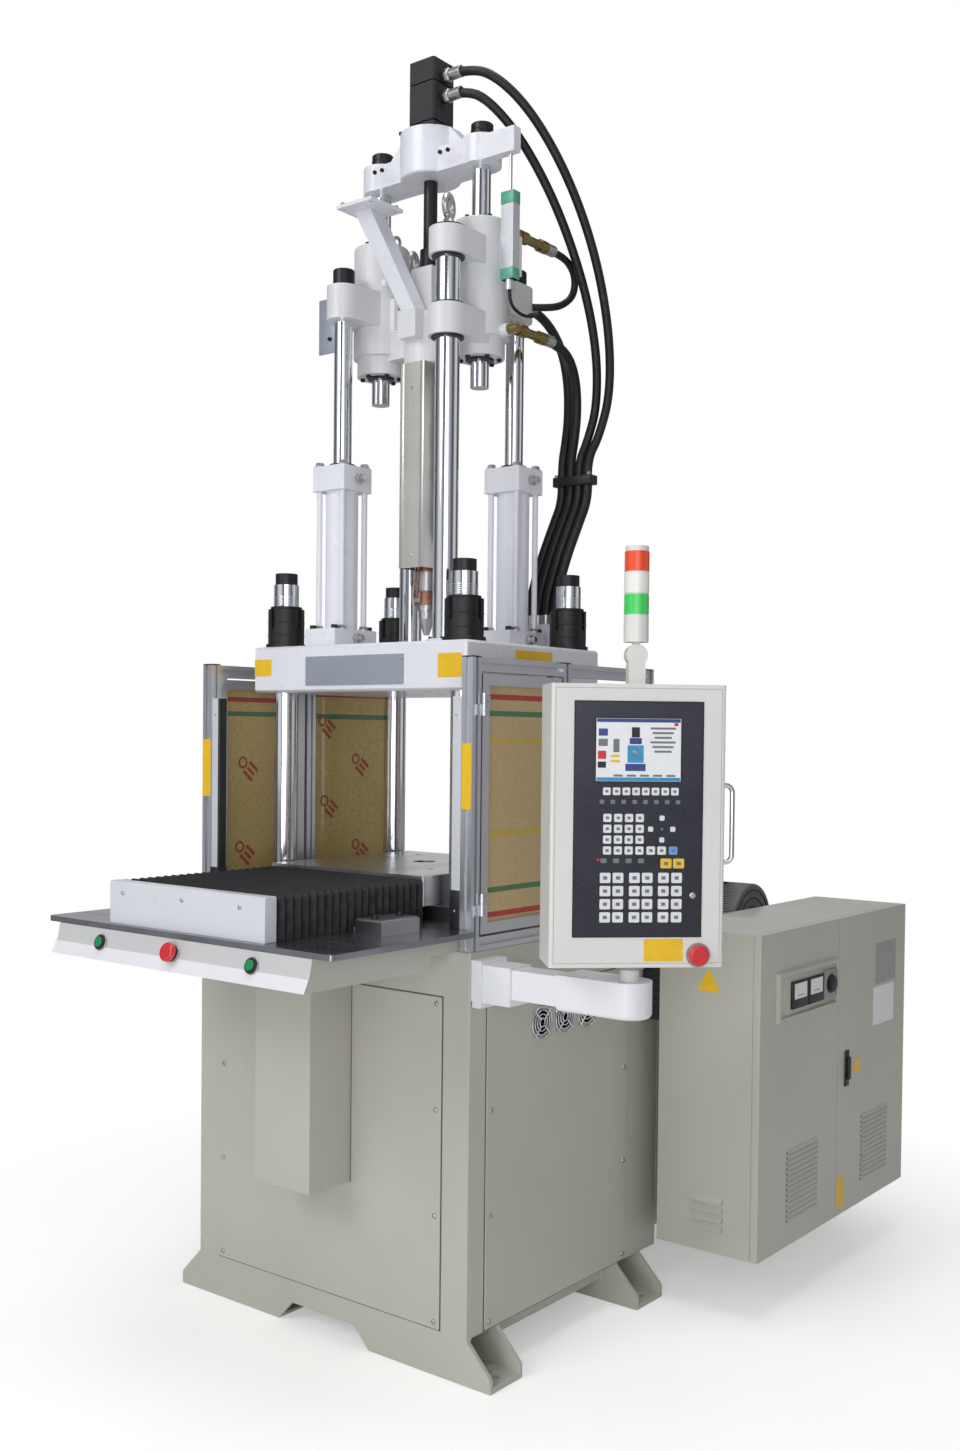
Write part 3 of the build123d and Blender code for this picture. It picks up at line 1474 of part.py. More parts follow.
# Build
save("base_frame", base_frame())
save("front_panel", front_panel())
save("side_panel_left", side_panel(-1))
save("side_panel_right", side_panel(1))
save("lower_platen", lower_platen())
save("clamp_cylinder", clamp_cylinder())
save("clamp_rod", clamp_rod())
save("clamp_plate", clamp_plate())
save("upper_platen", upper_platen())
save("tie_bars", *tie_bars())
save("tie_bar_nuts", *tie_bar_nuts())
save("slide_plate", slide_plate())
save("tray", tray())
save("slide_cover", slide_cover())
save("bellows", bellows())
save("stop_block", stop_block())
save("console", console())
save("start_button_left", start_button(-button_spacing))
save("start_button_right", start_button(button_spacing))
save("stop_button", button_frame(0) * Pos(0, 0, bezel_height) * mushroom())
save("guard_frame_right", *guard_frame())
save("guard_frame_left", *[mirrored(bar) for bar in guard_frame()])
save("guard_door_right", guard_door())
save("guard_door_left", mirrored(guard_door()))
save("guard_pane_right", door_pane())
save("guard_pane_left", mirrored(door_pane()))
save("guard_pane_rear", rear_pane())
save("light_curtains", light_curtain(), mirrored(light_curtain()))
save("lift_cylinders", lift_cylinder(-column_x, -column_y), lift_cylinder(column_x, column_y))
save("lift_rods", *lift_rod(-column_x, -column_y), *lift_rod(column_x, column_y))
save("guide_columns", *guide_columns())
save("carriage", carriage())
save("hose_fittings", *hose_fittings())
save("transducer", transducer())
save("transducer_rod", transducer_rod())
save("barrel", barrel())
save("nozzle", nozzle())
save("heater_bands", *heater_bands())
save("barrel_cover", barrel_cover())
save("feed_chute", feed_chute())
save("crosshead", crosshead())
save("injection_rods", *injection_rods())
save("rod_nuts", *rod_nuts())
save("screw_motor", screw_motor())
save("screw", screw())
save("pendant_arm", pendant_arm())
save("pendant_box", pendant_box())
save("keypad_panel", keypad_panel())
save("pendant_stop_button", pendant_place(stop_frame() * mushroom()))
save("tower_foot", tower_foot())
save("signal_tower", signal_tower())
save("cabinet", cabinet())
save("cabinet_door_front", cabinet_door_front())
save("cabinet_door_rear", cabinet_door(*door_edges()[1]))
save("oil_tank", oil_tank())
save("pump_motor", pump_motor())
save("motor_hoses", *motor_hoses())
save("hose_bundle", *hose_bundle())
save("carriage_leads", *carriage_leads())
save("cable_duct", cable_duct())
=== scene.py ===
import json
import math

import bmesh
import bpy
from mathutils import Matrix, Vector


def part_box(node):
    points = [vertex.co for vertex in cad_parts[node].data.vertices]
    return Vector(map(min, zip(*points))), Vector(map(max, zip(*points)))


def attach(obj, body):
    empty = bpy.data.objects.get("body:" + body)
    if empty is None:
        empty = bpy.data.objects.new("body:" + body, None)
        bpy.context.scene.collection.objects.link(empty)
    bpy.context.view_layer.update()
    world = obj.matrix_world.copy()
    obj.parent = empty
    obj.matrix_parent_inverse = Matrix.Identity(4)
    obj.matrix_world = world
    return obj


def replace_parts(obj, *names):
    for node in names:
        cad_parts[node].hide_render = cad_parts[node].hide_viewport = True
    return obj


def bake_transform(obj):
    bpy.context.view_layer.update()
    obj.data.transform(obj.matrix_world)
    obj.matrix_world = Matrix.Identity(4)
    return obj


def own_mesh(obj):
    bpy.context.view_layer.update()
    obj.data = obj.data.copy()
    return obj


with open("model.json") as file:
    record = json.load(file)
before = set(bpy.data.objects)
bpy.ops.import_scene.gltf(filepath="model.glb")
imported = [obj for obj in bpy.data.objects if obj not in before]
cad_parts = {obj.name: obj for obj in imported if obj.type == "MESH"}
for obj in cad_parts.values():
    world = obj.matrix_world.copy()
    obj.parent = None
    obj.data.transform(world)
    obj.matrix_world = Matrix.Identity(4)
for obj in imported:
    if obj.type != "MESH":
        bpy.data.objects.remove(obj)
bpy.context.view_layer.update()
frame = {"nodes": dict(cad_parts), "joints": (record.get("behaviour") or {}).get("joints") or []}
nodes = frame["nodes"]
joints = {joint["name"]: joint for joint in frame["joints"]}

# Lengths are in millimetres in the row frame and become metres when a piece is done.
MM = 0.001
SMOOTH_ANGLE = math.radians(35)
UP = Vector((0, 0, 1))
DOWN = Vector((0, 0, -1))
FRONT = Vector((0, -1, 0))
REAR = Vector((0, 1, 0))
RIGHT = Vector((1, 0, 0))
LEFT = Vector((-1, 0, 0))


def corners(node):
    """The lowest and highest corners of a CAD node, in millimetres."""
    low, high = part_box(node)
    return low / MM, high / MM


def srgb(red, green, blue):
    """A display colour of 0 to 255 a channel, as linear RGBA."""
    shares = [channel / 255 for channel in (red, green, blue)]
    return tuple(((share + 0.055) / 1.055) ** 2.4 for share in shares) + (1.0,)


def turns(count, start=0.0):
    """Even angles around a circle."""
    return [2 * math.pi * (step + start) / count for step in range(count)]


def scaled(colour, factor):
    return tuple(min(channel * factor, 1.0) for channel in colour[:3]) + (1.0,)


# Materials


class Graph:
    """A tree of shader nodes being wired up."""

    def __init__(self, tree):
        self.tree = tree

    def add(self, kind, **settings):
        node = self.tree.nodes.new(kind)
        for key, value in settings.items():
            setattr(node, key, value)
        return node

    def feed(self, output, socket):
        self.tree.links.new(output, socket)

    def ramp(self, value, stops, steps=False):
        """Colours along a value, blended or in steps."""
        ramp = self.add("ShaderNodeValToRGB")
        ramp.color_ramp.interpolation = "CONSTANT" if steps else "LINEAR"
        elements = ramp.color_ramp.elements
        elements.remove(elements[-1])
        elements[0].position, elements[0].color = stops[0]
        for position, colour in stops[1:]:
            elements.new(position).color = colour
        self.feed(value, ramp.inputs["Fac"])
        return ramp.outputs["Color"]

    def remap(self, value, low, high, start=0.3, stop=0.7):
        node = self.add("ShaderNodeMapRange")
        settings = {"From Min": start, "From Max": stop, "To Min": low, "To Max": high}
        for key, setting in settings.items():
            node.inputs[key].default_value = setting
        self.feed(value, node.inputs["Value"])
        return node.outputs["Result"]

    def choose(self, share, first, second):
        """One shader or another, by a share."""
        node = self.add("ShaderNodeMixShader")
        self.feed(share, node.inputs["Fac"])
        self.feed(first, node.inputs[1])
        self.feed(second, node.inputs[2])
        return node.outputs["Shader"]


class Look(Graph):
    """A node material being wired up around its own surface shader."""

    def __init__(self, name):
        self.material = bpy.data.materials.new(name)
        self.material.use_nodes = True
        super().__init__(self.material.node_tree)
        self.surface = self.tree.nodes["Principled BSDF"]
        self.place = self.add("ShaderNodeTexCoord").outputs["Object"]

    def noise(self, scale, detail=3.0, stretch=(1, 1, 1)):
        """Noise with features about 1 / scale metres wide, drawn out by stretch."""
        mapping = self.add("ShaderNodeMapping")
        mapping.inputs["Scale"].default_value = stretch
        self.feed(self.place, mapping.inputs["Vector"])
        texture = self.add("ShaderNodeTexNoise")
        texture.inputs["Scale"].default_value = scale
        texture.inputs["Detail"].default_value = detail
        self.feed(mapping.outputs["Vector"], texture.inputs["Vector"])
        return texture.outputs[0]

    def multiply(self, first, second, share):
        """One colour darkened by another."""
        node = self.add("ShaderNodeMix", data_type="RGBA", blend_type="MULTIPLY")
        node.inputs["Factor"].default_value = share
        self.feed(first, node.inputs[6])
        self.feed(second, node.inputs[7])
        return node.outputs[2]

    def bump(self, height, strength, distance):
        node = self.add("ShaderNodeBump")
        node.inputs["Strength"].default_value = strength
        node.inputs["Distance"].default_value = distance
        self.feed(height, node.inputs["Height"])
        self.feed(node.outputs["Normal"], self.surface.inputs["Normal"])

    def height(self):
        """The height in the row frame at rest, in metres."""
        split = self.add("ShaderNodeSeparateXYZ")
        self.feed(self.place, split.inputs["Vector"])
        return split.outputs["Z"]


TONE_LOW, TONE_HIGH = 0.35, 0.65
TONE_DETAIL, GLOSS_DETAIL, GRAIN_DETAIL = 5.0, 6.0, 2.0
GLOSS_SCALE, GLOSS_SWING = 3, 0.2
GRAIN_DISTANCE = 0.0006
FIBRE_LOW, FIBRE_HIGH = 0.3, 0.7
FIBRE_DETAIL, FIBRE_STRETCH = 8.0, (1, 1, 2.5)
FIBRE_SHADE, FIBRE_SWING = 3, 0.15
RELIEF_SCALE, RELIEF_DEPTH, RELIEF_DISTANCE = 8, 0.05, 0.0005


def finish(name, colour, roughness, metallic=0.0, coat=0.0, spread=0.04, patch=5.0,
           grain=700.0, depth=0.06, stretch=(1, 1, 1)):
    """A surface with an uneven tone and gloss in large patches and a fine grain in relief."""
    look = Look(name)
    patches = look.noise(patch, detail=TONE_DETAIL)
    dark, pale = scaled(srgb(*colour), 1 - spread), scaled(srgb(*colour), 1 + spread)
    look.feed(look.ramp(patches, [(TONE_LOW, dark), (TONE_HIGH, pale)]), look.surface.inputs["Base Color"])
    gloss = look.noise(patch * GLOSS_SCALE, detail=GLOSS_DETAIL, stretch=stretch)
    swing = look.remap(gloss, roughness * (1 - GLOSS_SWING), roughness * (1 + GLOSS_SWING))
    look.feed(swing, look.surface.inputs["Roughness"])
    look.surface.inputs["Metallic"].default_value = metallic
    look.surface.inputs["Coat Weight"].default_value = coat
    look.bump(look.noise(grain, detail=GRAIN_DETAIL, stretch=stretch), depth, GRAIN_DISTANCE)
    return look.material


def banded(name, ground, bands, low, high, roughness, spread=0.05, fibre=90.0, coat=0.0):
    """A surface with level bands of colour: bands are (from, to, colour) heights in millimetres."""
    look = Look(name)
    share = look.remap(look.height(), 0.0, 1.0, low * MM, high * MM)
    stops = [(0.0, ground)]
    for start, stop, colour in sorted(bands):
        stops.append(((start - low) / (high - low), colour))
        stops.append(((stop - low) / (high - low), ground))
    tone = look.ramp(share, stops, steps=True)
    fibres = look.noise(fibre, detail=FIBRE_DETAIL, stretch=FIBRE_STRETCH)
    shade = scaled((1, 1, 1), 1 - FIBRE_SHADE * spread)
    cloud = look.ramp(fibres, [(FIBRE_LOW, shade), (FIBRE_HIGH, (1, 1, 1, 1))])
    look.feed(look.multiply(tone, cloud, 1.0), look.surface.inputs["Base Color"])
    swing = look.remap(fibres, roughness * (1 - FIBRE_SWING), roughness * (1 + FIBRE_SWING))
    look.feed(swing, look.surface.inputs["Roughness"])
    look.surface.inputs["Coat Weight"].default_value = coat
    look.bump(look.noise(fibre * RELIEF_SCALE), RELIEF_DEPTH, RELIEF_DISTANCE)
    return look.material


ALONG_Z = (1, 1, 0.03)
ALONG_Y = (1, 0.03, 1)
ALONG_X = (0.03, 1, 1)

base_paint = finish("base_paint", (192, 191, 181), 0.36, coat=0.25, spread=0.03, patch=3.0)
unit_paint = finish("unit_paint", (236, 237, 245), 0.32, coat=0.25, spread=0.025)
cover_paint = finish("cover_paint", (238, 239, 245), 0.34, coat=0.2, spread=0.02)
pendant_paint = finish("pendant_paint", (229, 229, 227), 0.38, coat=0.1, spread=0.02)
tray_steel = finish("tray_steel", (146, 148, 156), 0.24, metallic=0.95, spread=0.12, patch=9.0,
                    depth=0.12, stretch=ALONG_X)
ground_steel = finish("ground_steel", (182, 182, 185), 0.3, metallic=1.0, spread=0.06, depth=0.03,
                      stretch=ALONG_Y)
cast_paint = finish("cast_paint", (224, 225, 228), 0.42, coat=0.2, spread=0.04, patch=7.0, grain=260.0,
                    depth=0.16)
stainless = finish("stainless", (222, 222, 216), 0.3, metallic=1.0, spread=0.05, depth=0.1, stretch=ALONG_Z)
chrome = finish("chrome", (226, 228, 233), 0.1, metallic=1.0, spread=0.02, grain=300.0, depth=0.02)
zinc = finish("zinc", (190, 190, 188), 0.35, metallic=1.0, spread=0.1, patch=40.0)
black_steel = finish("black_steel", (34, 34, 37), 0.38, metallic=0.3, spread=0.15, patch=20.0)
black_motor = finish("black_motor", (36, 36, 40), 0.45, spread=0.2, patch=18.0, grain=420.0, depth=0.2)
dark_motor = finish("dark_motor", (44, 45, 49), 0.5, spread=0.2, patch=14.0, grain=420.0, depth=0.2)
aluminium = finish("aluminium", (206, 208, 214), 0.33, metallic=0.9, spread=0.04, depth=0.08,
                   stretch=ALONG_Z)
rubber = finish("rubber", (17, 17, 19), 0.5, spread=0.2, patch=25.0, grain=900.0, depth=0.15)
bellows_cloth = finish("bellows_cloth", (13, 15, 18), 0.58, spread=0.2, patch=20.0, grain=1500.0,
                       depth=0.25)
brass = finish("brass", (150, 132, 88), 0.34, metallic=1.0, spread=0.12, patch=40.0)
copper = finish("copper", (148, 106, 84), 0.42, metallic=0.8, spread=0.2, patch=45.0)
green_plastic = finish("green_plastic", (18, 140, 88), 0.25, coat=0.4, spread=0.05, patch=60.0)
pale_green = finish("pale_green", (86, 170, 140), 0.35, coat=0.2, spread=0.05, patch=60.0)
red_plastic = finish("red_plastic", (214, 44, 52), 0.25, coat=0.4, spread=0.04, patch=60.0)
black_plastic = finish("black_plastic", (30, 31, 34), 0.45, spread=0.1, patch=40.0)
grey_plastic = finish("grey_plastic", (150, 151, 152), 0.45, spread=0.05, patch=40.0)
keypad_film = finish("keypad_film", (34, 36, 50), 0.3, coat=0.3, spread=0.08, patch=8.0)
key_film = finish("key_film", (232, 233, 236), 0.4, spread=0.03, patch=60.0)
key_mark = finish("key_mark", (120, 122, 132), 0.4, spread=0.05, patch=60.0)
key_yellow = finish("key_yellow", (240, 200, 50), 0.4, spread=0.04, patch=60.0)
key_blue = finish("key_blue", (110, 160, 220), 0.4, spread=0.04, patch=60.0)
screen_white = finish("screen_white", (244, 246, 250), 0.2, coat=0.5, spread=0.02, patch=30.0)
screen_blue = finish("screen_blue", (60, 150, 200), 0.2, coat=0.5, spread=0.08, patch=60.0)
screen_navy = finish("screen_navy", (50, 70, 140), 0.2, coat=0.5, spread=0.08, patch=60.0)
yellow_film = finish("yellow_film", (242, 196, 36), 0.4, spread=0.04, patch=40.0)
# Painted shade for the dark gaps around the base panels and beside the service box.
seam_shade = finish("seam_shade", (84, 84, 78), 0.6, spread=0.1, patch=30.0)
pane_print = finish("pane_print", (168, 80, 58), 0.5, spread=0.15, patch=60.0)
white_film = finish("white_film", (236, 237, 238), 0.4, spread=0.02, patch=40.0)
plate_film = finish("plate_film", (166, 173, 186), 0.3, metallic=0.35, spread=0.04, depth=0.08,
                    stretch=ALONG_X)
grey_motor = finish("grey_motor", (120, 121, 120), 0.5, spread=0.12, patch=14.0, grain=420.0, depth=0.2)
filter_mat = finish("filter_mat", (96, 96, 90), 0.9, spread=0.15, patch=60.0, grain=500.0, depth=0.4)
slide_paint = finish("slide_paint", (221, 223, 231), 0.34, coat=0.2, spread=0.02)
curtain_grey = finish("curtain_grey", (220, 223, 230), 0.35, metallic=0.2, spread=0.03, stretch=ALONG_Z)
dial_plate = finish("dial_plate", (160, 162, 160), 0.4, spread=0.03, patch=40.0)
# Painted shade for the seam around the pendant's face.
pendant_seam_shade = finish("pendant_seam_shade", (176, 176, 174), 0.5, spread=0.05, patch=40.0)
smoked_glass = finish("smoked_glass", (46, 48, 52), 0.12, coat=0.8, spread=0.1, patch=10.0)

KRAFT = srgb(206, 180, 132)
KRAFT_LEFT = srgb(208, 180, 112)
PANE_RED = srgb(190, 58, 52)
PANE_GREEN = srgb(78, 128, 84)
PANE_YELLOW = srgb(214, 182, 74)
band_half = 6.0


def bands_at(places):
    return [(height - band_half, height + band_half, colour) for height, colour in places]


pane_low, pane_high = corners("guard_pane_right")
rear_low, rear_high = corners("guard_pane_rear")
kraft_door = banded("kraft_door", KRAFT, bands_at([(1476, PANE_RED), (1441, PANE_GREEN), (1380, PANE_YELLOW),
                                                  (1180, PANE_YELLOW), (1057, PANE_GREEN), (1004, PANE_RED)]),
                    pane_low.z, pane_high.z, 0.45, coat=0.3)
kraft_left = banded("kraft_left", KRAFT_LEFT,
                    bands_at([(1476, PANE_RED), (1441, PANE_GREEN), (1004, PANE_RED)]),
                    pane_low.z, pane_high.z, 0.4, spread=0.1, coat=0.4)
kraft_rear = banded("kraft_rear", KRAFT_LEFT, bands_at([(1497, PANE_RED), (1438, PANE_GREEN)]),
                    rear_low.z, rear_high.z, 0.4, spread=0.1, coat=0.4)

console_low, console_high = corners("console")
# The console's front is painted in two bands: the darker upper band is painted shade under the tray's edge,
# the white lower band is a painted highlight.
console_shade_line = 928.0
console_shade_and_highlight = banded("console_shade_and_highlight", srgb(206, 207, 208),
                       [(console_low.z, console_shade_line, srgb(238, 239, 245))],
                       console_low.z - 1, console_high.z, 0.34, spread=0.01, coat=0.2)

tower_low, tower_high = corners("signal_tower")
lamp_height = 43.0
lamp_ring = 3.0
tower_cap = 11.0
lamp_low = tower_high.z - tower_cap - 3 * lamp_height
lamp_colours = (srgb(70, 224, 104), srgb(250, 250, 244), srgb(250, 84, 44))
lamps = [(lamp_low + index * lamp_height + lamp_ring, lamp_low + (index + 1) * lamp_height, colour)
         for index, colour in enumerate(lamp_colours)]
tower_plastic = banded("tower_plastic", srgb(236, 236, 232), lamps, tower_low.z, tower_high.z, 0.22,
                       spread=0.01, coat=0.5)

node_looks = {
    base_paint: ("base_frame", "front_panel", "side_panel_left", "side_panel_right", "clamp_cylinder",
                 "oil_tank", "cabinet", "cabinet_door_front", "cabinet_door_rear"),
    unit_paint: ("upper_platen", "lift_cylinders", "feed_chute", "crosshead"),
    cast_paint: ("carriage",),
    cover_paint: ("pendant_arm",),
    slide_paint: ("slide_cover",),
    curtain_grey: ("light_curtains",),
    console_shade_and_highlight: ("console",),
    pendant_paint: ("pendant_box",),
    tray_steel: ("tray",),
    ground_steel: ("lower_platen", "stop_block", "slide_plate", "clamp_plate", "barrel", "nozzle"),
    stainless: ("barrel_cover",),
    chrome: ("tie_bars", "clamp_rod", "guide_columns", "lift_rods", "injection_rods", "transducer_rod"),
    black_steel: ("tie_bar_nuts", "rod_nuts", "screw"),
    black_motor: ("screw_motor",),
    dark_motor: ("pump_motor",),
    aluminium: ("guard_frame_left", "guard_frame_right", "guard_door_left", "guard_door_right", "transducer"),
    kraft_door: ("guard_pane_right",),
    kraft_left: ("guard_pane_left",),
    kraft_rear: ("guard_pane_rear",),
    copper: ("heater_bands",),
    brass: ("hose_fittings",),
    green_plastic: ("start_button_left", "start_button_right"),
    red_plastic: ("stop_button", "pendant_stop_button"),
    keypad_film: ("keypad_panel",),
    black_plastic: ("cable_duct",),
    tower_plastic: ("tower_foot", "signal_tower"),
}
for look, names in node_looks.items():
    for name in names:
        nodes[name].data.materials.clear()
        nodes[name].data.materials.append(look)


def tint(node, look, chosen):
    """Another material for the faces of a CAD node whose centre and normal pass a test."""
    mesh = nodes[node].data
    mesh.materials.append(look)
    for face in mesh.polygons:
        if chosen(face.center / MM, face.normal):
            face.material_index = len(mesh.materials) - 1


WELD_GAP = 0.01
EDGE_ANGLE = math.radians(40)
EDGE_SEGMENTS = 2
SHADE_WEIGHT = 100


def soften(node, width):
    """Breaks the sharp edges of a CAD node as it is drawn."""
    weld = nodes[node].modifiers.new("weld", "WELD")
    weld.merge_threshold = WELD_GAP * MM
    edge = nodes[node].modifiers.new("edges", "BEVEL")
    edge.width = width * MM
    edge.segments = EDGE_SEGMENTS
    edge.limit_method = "ANGLE"
    edge.angle_limit = EDGE_ANGLE
    shade = nodes[node].modifiers.new("shade", "WEIGHTED_NORMAL")
    shade.mode = "FACE_AREA"
    shade.weight = SHADE_WEIGHT


soft_edges = {
    4.0: ("base_frame", "cabinet_door_front", "cabinet_door_rear", "cabinet"),
    3.0: ("upper_platen", "crosshead", "console"),
    2.0: ("slide_cover", "pendant_box", "oil_tank", "lower_platen"),
    1.0: ("front_panel", "side_panel_right", "side_panel_left", "tray"),
}
for width, names in soft_edges.items():
    for name in names:
        soften(name, width)


# Pieces


# Outlines of fasteners: radius and height as shares of the head's radius.
CAP_SCREW = ((1, 0), (1, 1.056), (0.88, 1.2), (0.5, 1.2), (0.5, 0.6), (0, 0.6))
PAN_SCREW = ((1, 0), (1, 0.18), (0.8, 0.48), (0.5, 0.6), (0.36, 0.6), (0.36, 0.24), (0, 0.24))
WASHER_RADIUS, WASHER_HEIGHT = 1.25, 0.18
NUT_EDGE = 0.88
STUD = ((0.52, 0), (0.52, 0.2), (0.42, 0.35))
WIRE_SIDES = 10
CORNER_STEPS = 3
EDGE_SHARE = 0.2


def sized(shares, radius):
    return [(radius * across, radius * rise) for across, rise in shares]


class Piece:
    """One object of the scene, put together from parts in millimetres, each in its own material."""

    def __init__(self, name, body, slot, place=None):
        self.name = name
        self.body = body
        self.slot = slot
        self.place = place or Matrix.Identity(4)
        self.solid = bmesh.new()
        self.scratch = bpy.data.meshes.new(name + "_part")
        self.materials = []

    def join(self, part, material):
        """Takes over a finished part."""
        if material not in self.materials:
            self.materials.append(material)
        bmesh.ops.recalc_face_normals(part, faces=part.faces[:])
        for face in part.faces:
            face.material_index = self.materials.index(material)
            face.smooth = True
        part.transform(self.place)
        part.to_mesh(self.scratch)
        part.free()
        self.solid.from_mesh(self.scratch)

    def done(self, ride=True):
        """Makes the object, sharp where its faces meet at an angle."""
        bpy.data.meshes.remove(self.scratch)
        self.solid.transform(Matrix.Scale(MM, 4))
        mesh = bpy.data.meshes.new(self.name)
        self.solid.to_mesh(mesh)
        self.solid.free()
        for material in self.materials:
            mesh.materials.append(material)
        mesh.set_sharp_from_angle(angle=SMOOTH_ANGLE)
        thing = bpy.data.objects.new(self.name, mesh)
        bpy.context.scene.collection.objects.link(thing)
        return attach(thing, self.body) if ride else thing

    def box(self, low, high, material, bevel=1.0):
        """A box between two corners, with its edges rounded."""
        part = bmesh.new()
        low, high = Vector(low), Vector(high)
        bmesh.ops.create_cube(part, size=1.0, matrix=Matrix.LocRotScale((low + high) / 2, None, high - low))
        bmesh.ops.bevel(part, geom=part.edges[:], offset=bevel, segments=2, profile=0.5, affect="EDGES")
        self.join(part, material)

    def skin(self, rings, material, closed=False):
        """A surface over rings of points, capped at both ends or closed into a loop."""
        part = bmesh.new()
        rings = [[part.verts.new(spot) for spot in ring] for ring in rings]
        sides = max(len(ring) for ring in rings)
        pairs = list(zip(rings, rings[1:] + rings[:1]))
        for lower, upper in pairs if closed else pairs[:-1]:
            for step in range(sides):
                after = (step + 1) % sides
                quad = [lower[step % len(lower)], lower[after % len(lower)],
                        upper[after % len(upper)], upper[step % len(upper)]]
                part.faces.new(list(dict.fromkeys(quad)))
        if not closed:
            for ring in (rings[0], rings[-1]):
                if len(ring) > 1:
                    part.faces.new(ring)
        self.join(part, material)

    def lathe(self, base, axis, outline, material, sides=28, closed=False):
        """A turned part: outline is (radius, height) pairs, with heights along axis from base."""
        place = Matrix.Translation(base) @ Vector(axis).to_track_quat("Z", "Y").to_matrix().to_4x4()
        rings = []
        for radius, height in outline:
            spots = [(radius * math.cos(turn), radius * math.sin(turn), height) for turn in turns(sides)]
            rings.append([place @ Vector(spot) for spot in (spots if radius else spots[:1])])
        self.skin(rings, material, closed)

    def ring(self, centre, axis, radius, wire, material):
        """A round wire bent into a ring."""
        outline = [(radius + wire * math.cos(turn), wire * math.sin(turn)) for turn in turns(WIRE_SIDES)]
        self.lathe(centre, axis, outline, material, sides=40, closed=True)

    def sleeve(self, base, axis, inner, outer, length, material, sides=32):
        """A short tube with broken edges."""
        edge = EDGE_SHARE * min(length, outer - inner)
        outline = [(inner, 0), (outer - edge, 0), (outer, edge), (outer, length - edge),
                   (outer - edge, length), (inner, length)]
        self.lathe(base, axis, outline, material, sides=sides, closed=True)

    def prism(self, outline, rise, material):
        """A flat outline of points, drawn out by a vector."""
        lower = [Vector(point) for point in outline]
        self.skin([lower, [point + Vector(rise) for point in lower]], material)

    def card(self, centre, right, up, width, height, material, thick=0.8, radius=2.0):
        """A thin plate with round corners, proud of its centre on the side that right x up points to."""
        right, up = Vector(right), Vector(up)
        outline = []
        for turn, (side, rise) in enumerate(((1, 1), (-1, 1), (-1, -1), (1, -1))):
            for step in range(CORNER_STEPS + 1):
                angle = math.pi / 2 * (turn + step / CORNER_STEPS)
                x = side * (width / 2 - radius) + radius * math.cos(angle)
                z = rise * (height / 2 - radius) + radius * math.sin(angle)
                outline.append(Vector(centre) + x * right + z * up)
        self.prism(outline, thick * right.cross(up), material)

    def ring_plate(self, centre, right, up, radius, wide, material, thick=0.2):
        """A flat ring, proud of its centre on the side that right x up points to."""
        axis = Vector(right).cross(Vector(up))
        outline = [(radius - wide, 0), (radius, 0), (radius, thick), (radius - wide, thick)]
        self.lathe(centre, axis, outline, material, closed=True)

    def frame(self, centre, right, up, width, height, wide, thick, material):
        """Four thin strips around a rectangle, proud of its centre on the side that right x up points to."""
        right, up = Vector(right), Vector(up)
        for way in (-1, 1):
            side = Vector(centre) + way * (width + wide) / 2 * right
            level = Vector(centre) + way * (height + wide) / 2 * up
            self.card(side, right, up, wide, height + 2 * wide, material, thick=thick, radius=wide / 4)
            self.card(level, right, up, width, wide, material, thick=thick, radius=wide / 4)

    def tube(self, points, radius, material, sides=14):
        """A round bar along a line of points."""
        points = [Vector(point) for point in points]
        across = (points[1] - points[0]).orthogonal().normalized()
        rings = []
        for index, point in enumerate(points):
            along = points[min(index + 1, len(points) - 1)] - points[max(index - 1, 0)]
            along.normalize()
            across = (across - across.dot(along) * along).normalized()
            over = along.cross(across)
            rings.append([point + radius * (math.cos(turn) * across + math.sin(turn) * over)
                          for turn in turns(sides)])
        self.skin(rings, material)

    def cap_screw(self, base, axis, radius, material):
        """A socket-head screw that stands on base."""
        self.lathe(base, axis, sized(CAP_SCREW, radius), material, sides=20)

    def pan_screw(self, base, axis, radius, material):
        """A low domed screw with a socket."""
        self.lathe(base, axis, sized(PAN_SCREW, radius), material, sides=18)

    def hex_nut(self, base, axis, radius, height, material, stud=True):
        """A washer and a hexagon, with the end of its stud."""
        washer = WASHER_HEIGHT * radius
        self.lathe(base, axis, [(WASHER_RADIUS * radius, 0), (WASHER_RADIUS * radius, washer)], material)
        lift = Vector(base) + washer * Vector(axis)
        outline = [(radius, 0), (radius, NUT_EDGE * height), (NUT_EDGE * radius, height)]
        self.lathe(lift, axis, outline, material, sides=6)
        if stud:
            self.lathe(lift + height * Vector(axis), axis, sized(STUD, radius), material, sides=18)


def four(x, y):
    return [(side * x, end * y) for side in (-1, 1) for end in (-1, 1)]


def spread(low, high, count):
    """Even places from low to high, both included."""
    return [low + (high - low) * index / (count - 1) for index in range(count)]


def series(start, pitch, count):
    """Places from start on, a pitch apart."""
    return [start + pitch * index for index in range(count)]


# Base: panel screws, seams and vent guards

fit_gap = 0.1
run_gap = 0.4
film = 0.5
panel_sheet = 3.0
panel_screw = 6.0
panel_screw_inset = 15.0
panel_screw_count = 4
seam = 2.5
seam_rise = 0.4
service_box = 174.0
service_box_low = 271.0
vent_height = 745.0
vent_spacing = 91.0
vent_radius = 30.0
vent_wire = 2.0
vent_wires = (10.0, 19.0, 28.0, 37.0)
vent_stays = 4
fan_set = 12.0
fan_blades = 7
hub_edge_share, hub_rise_share = 0.8, 0.7
blade_share, heel_share = 0.7, 0.6

base_low, base_high = corners("base_frame")
base_half = corners("oil_tank")[1].x
front_low, front_high = corners("front_panel")
side_low, side_high = corners("side_panel_right")


def heading(angle):
    """A direction in the plane of a side panel."""
    return Vector((0, math.cos(angle), math.sin(angle)))


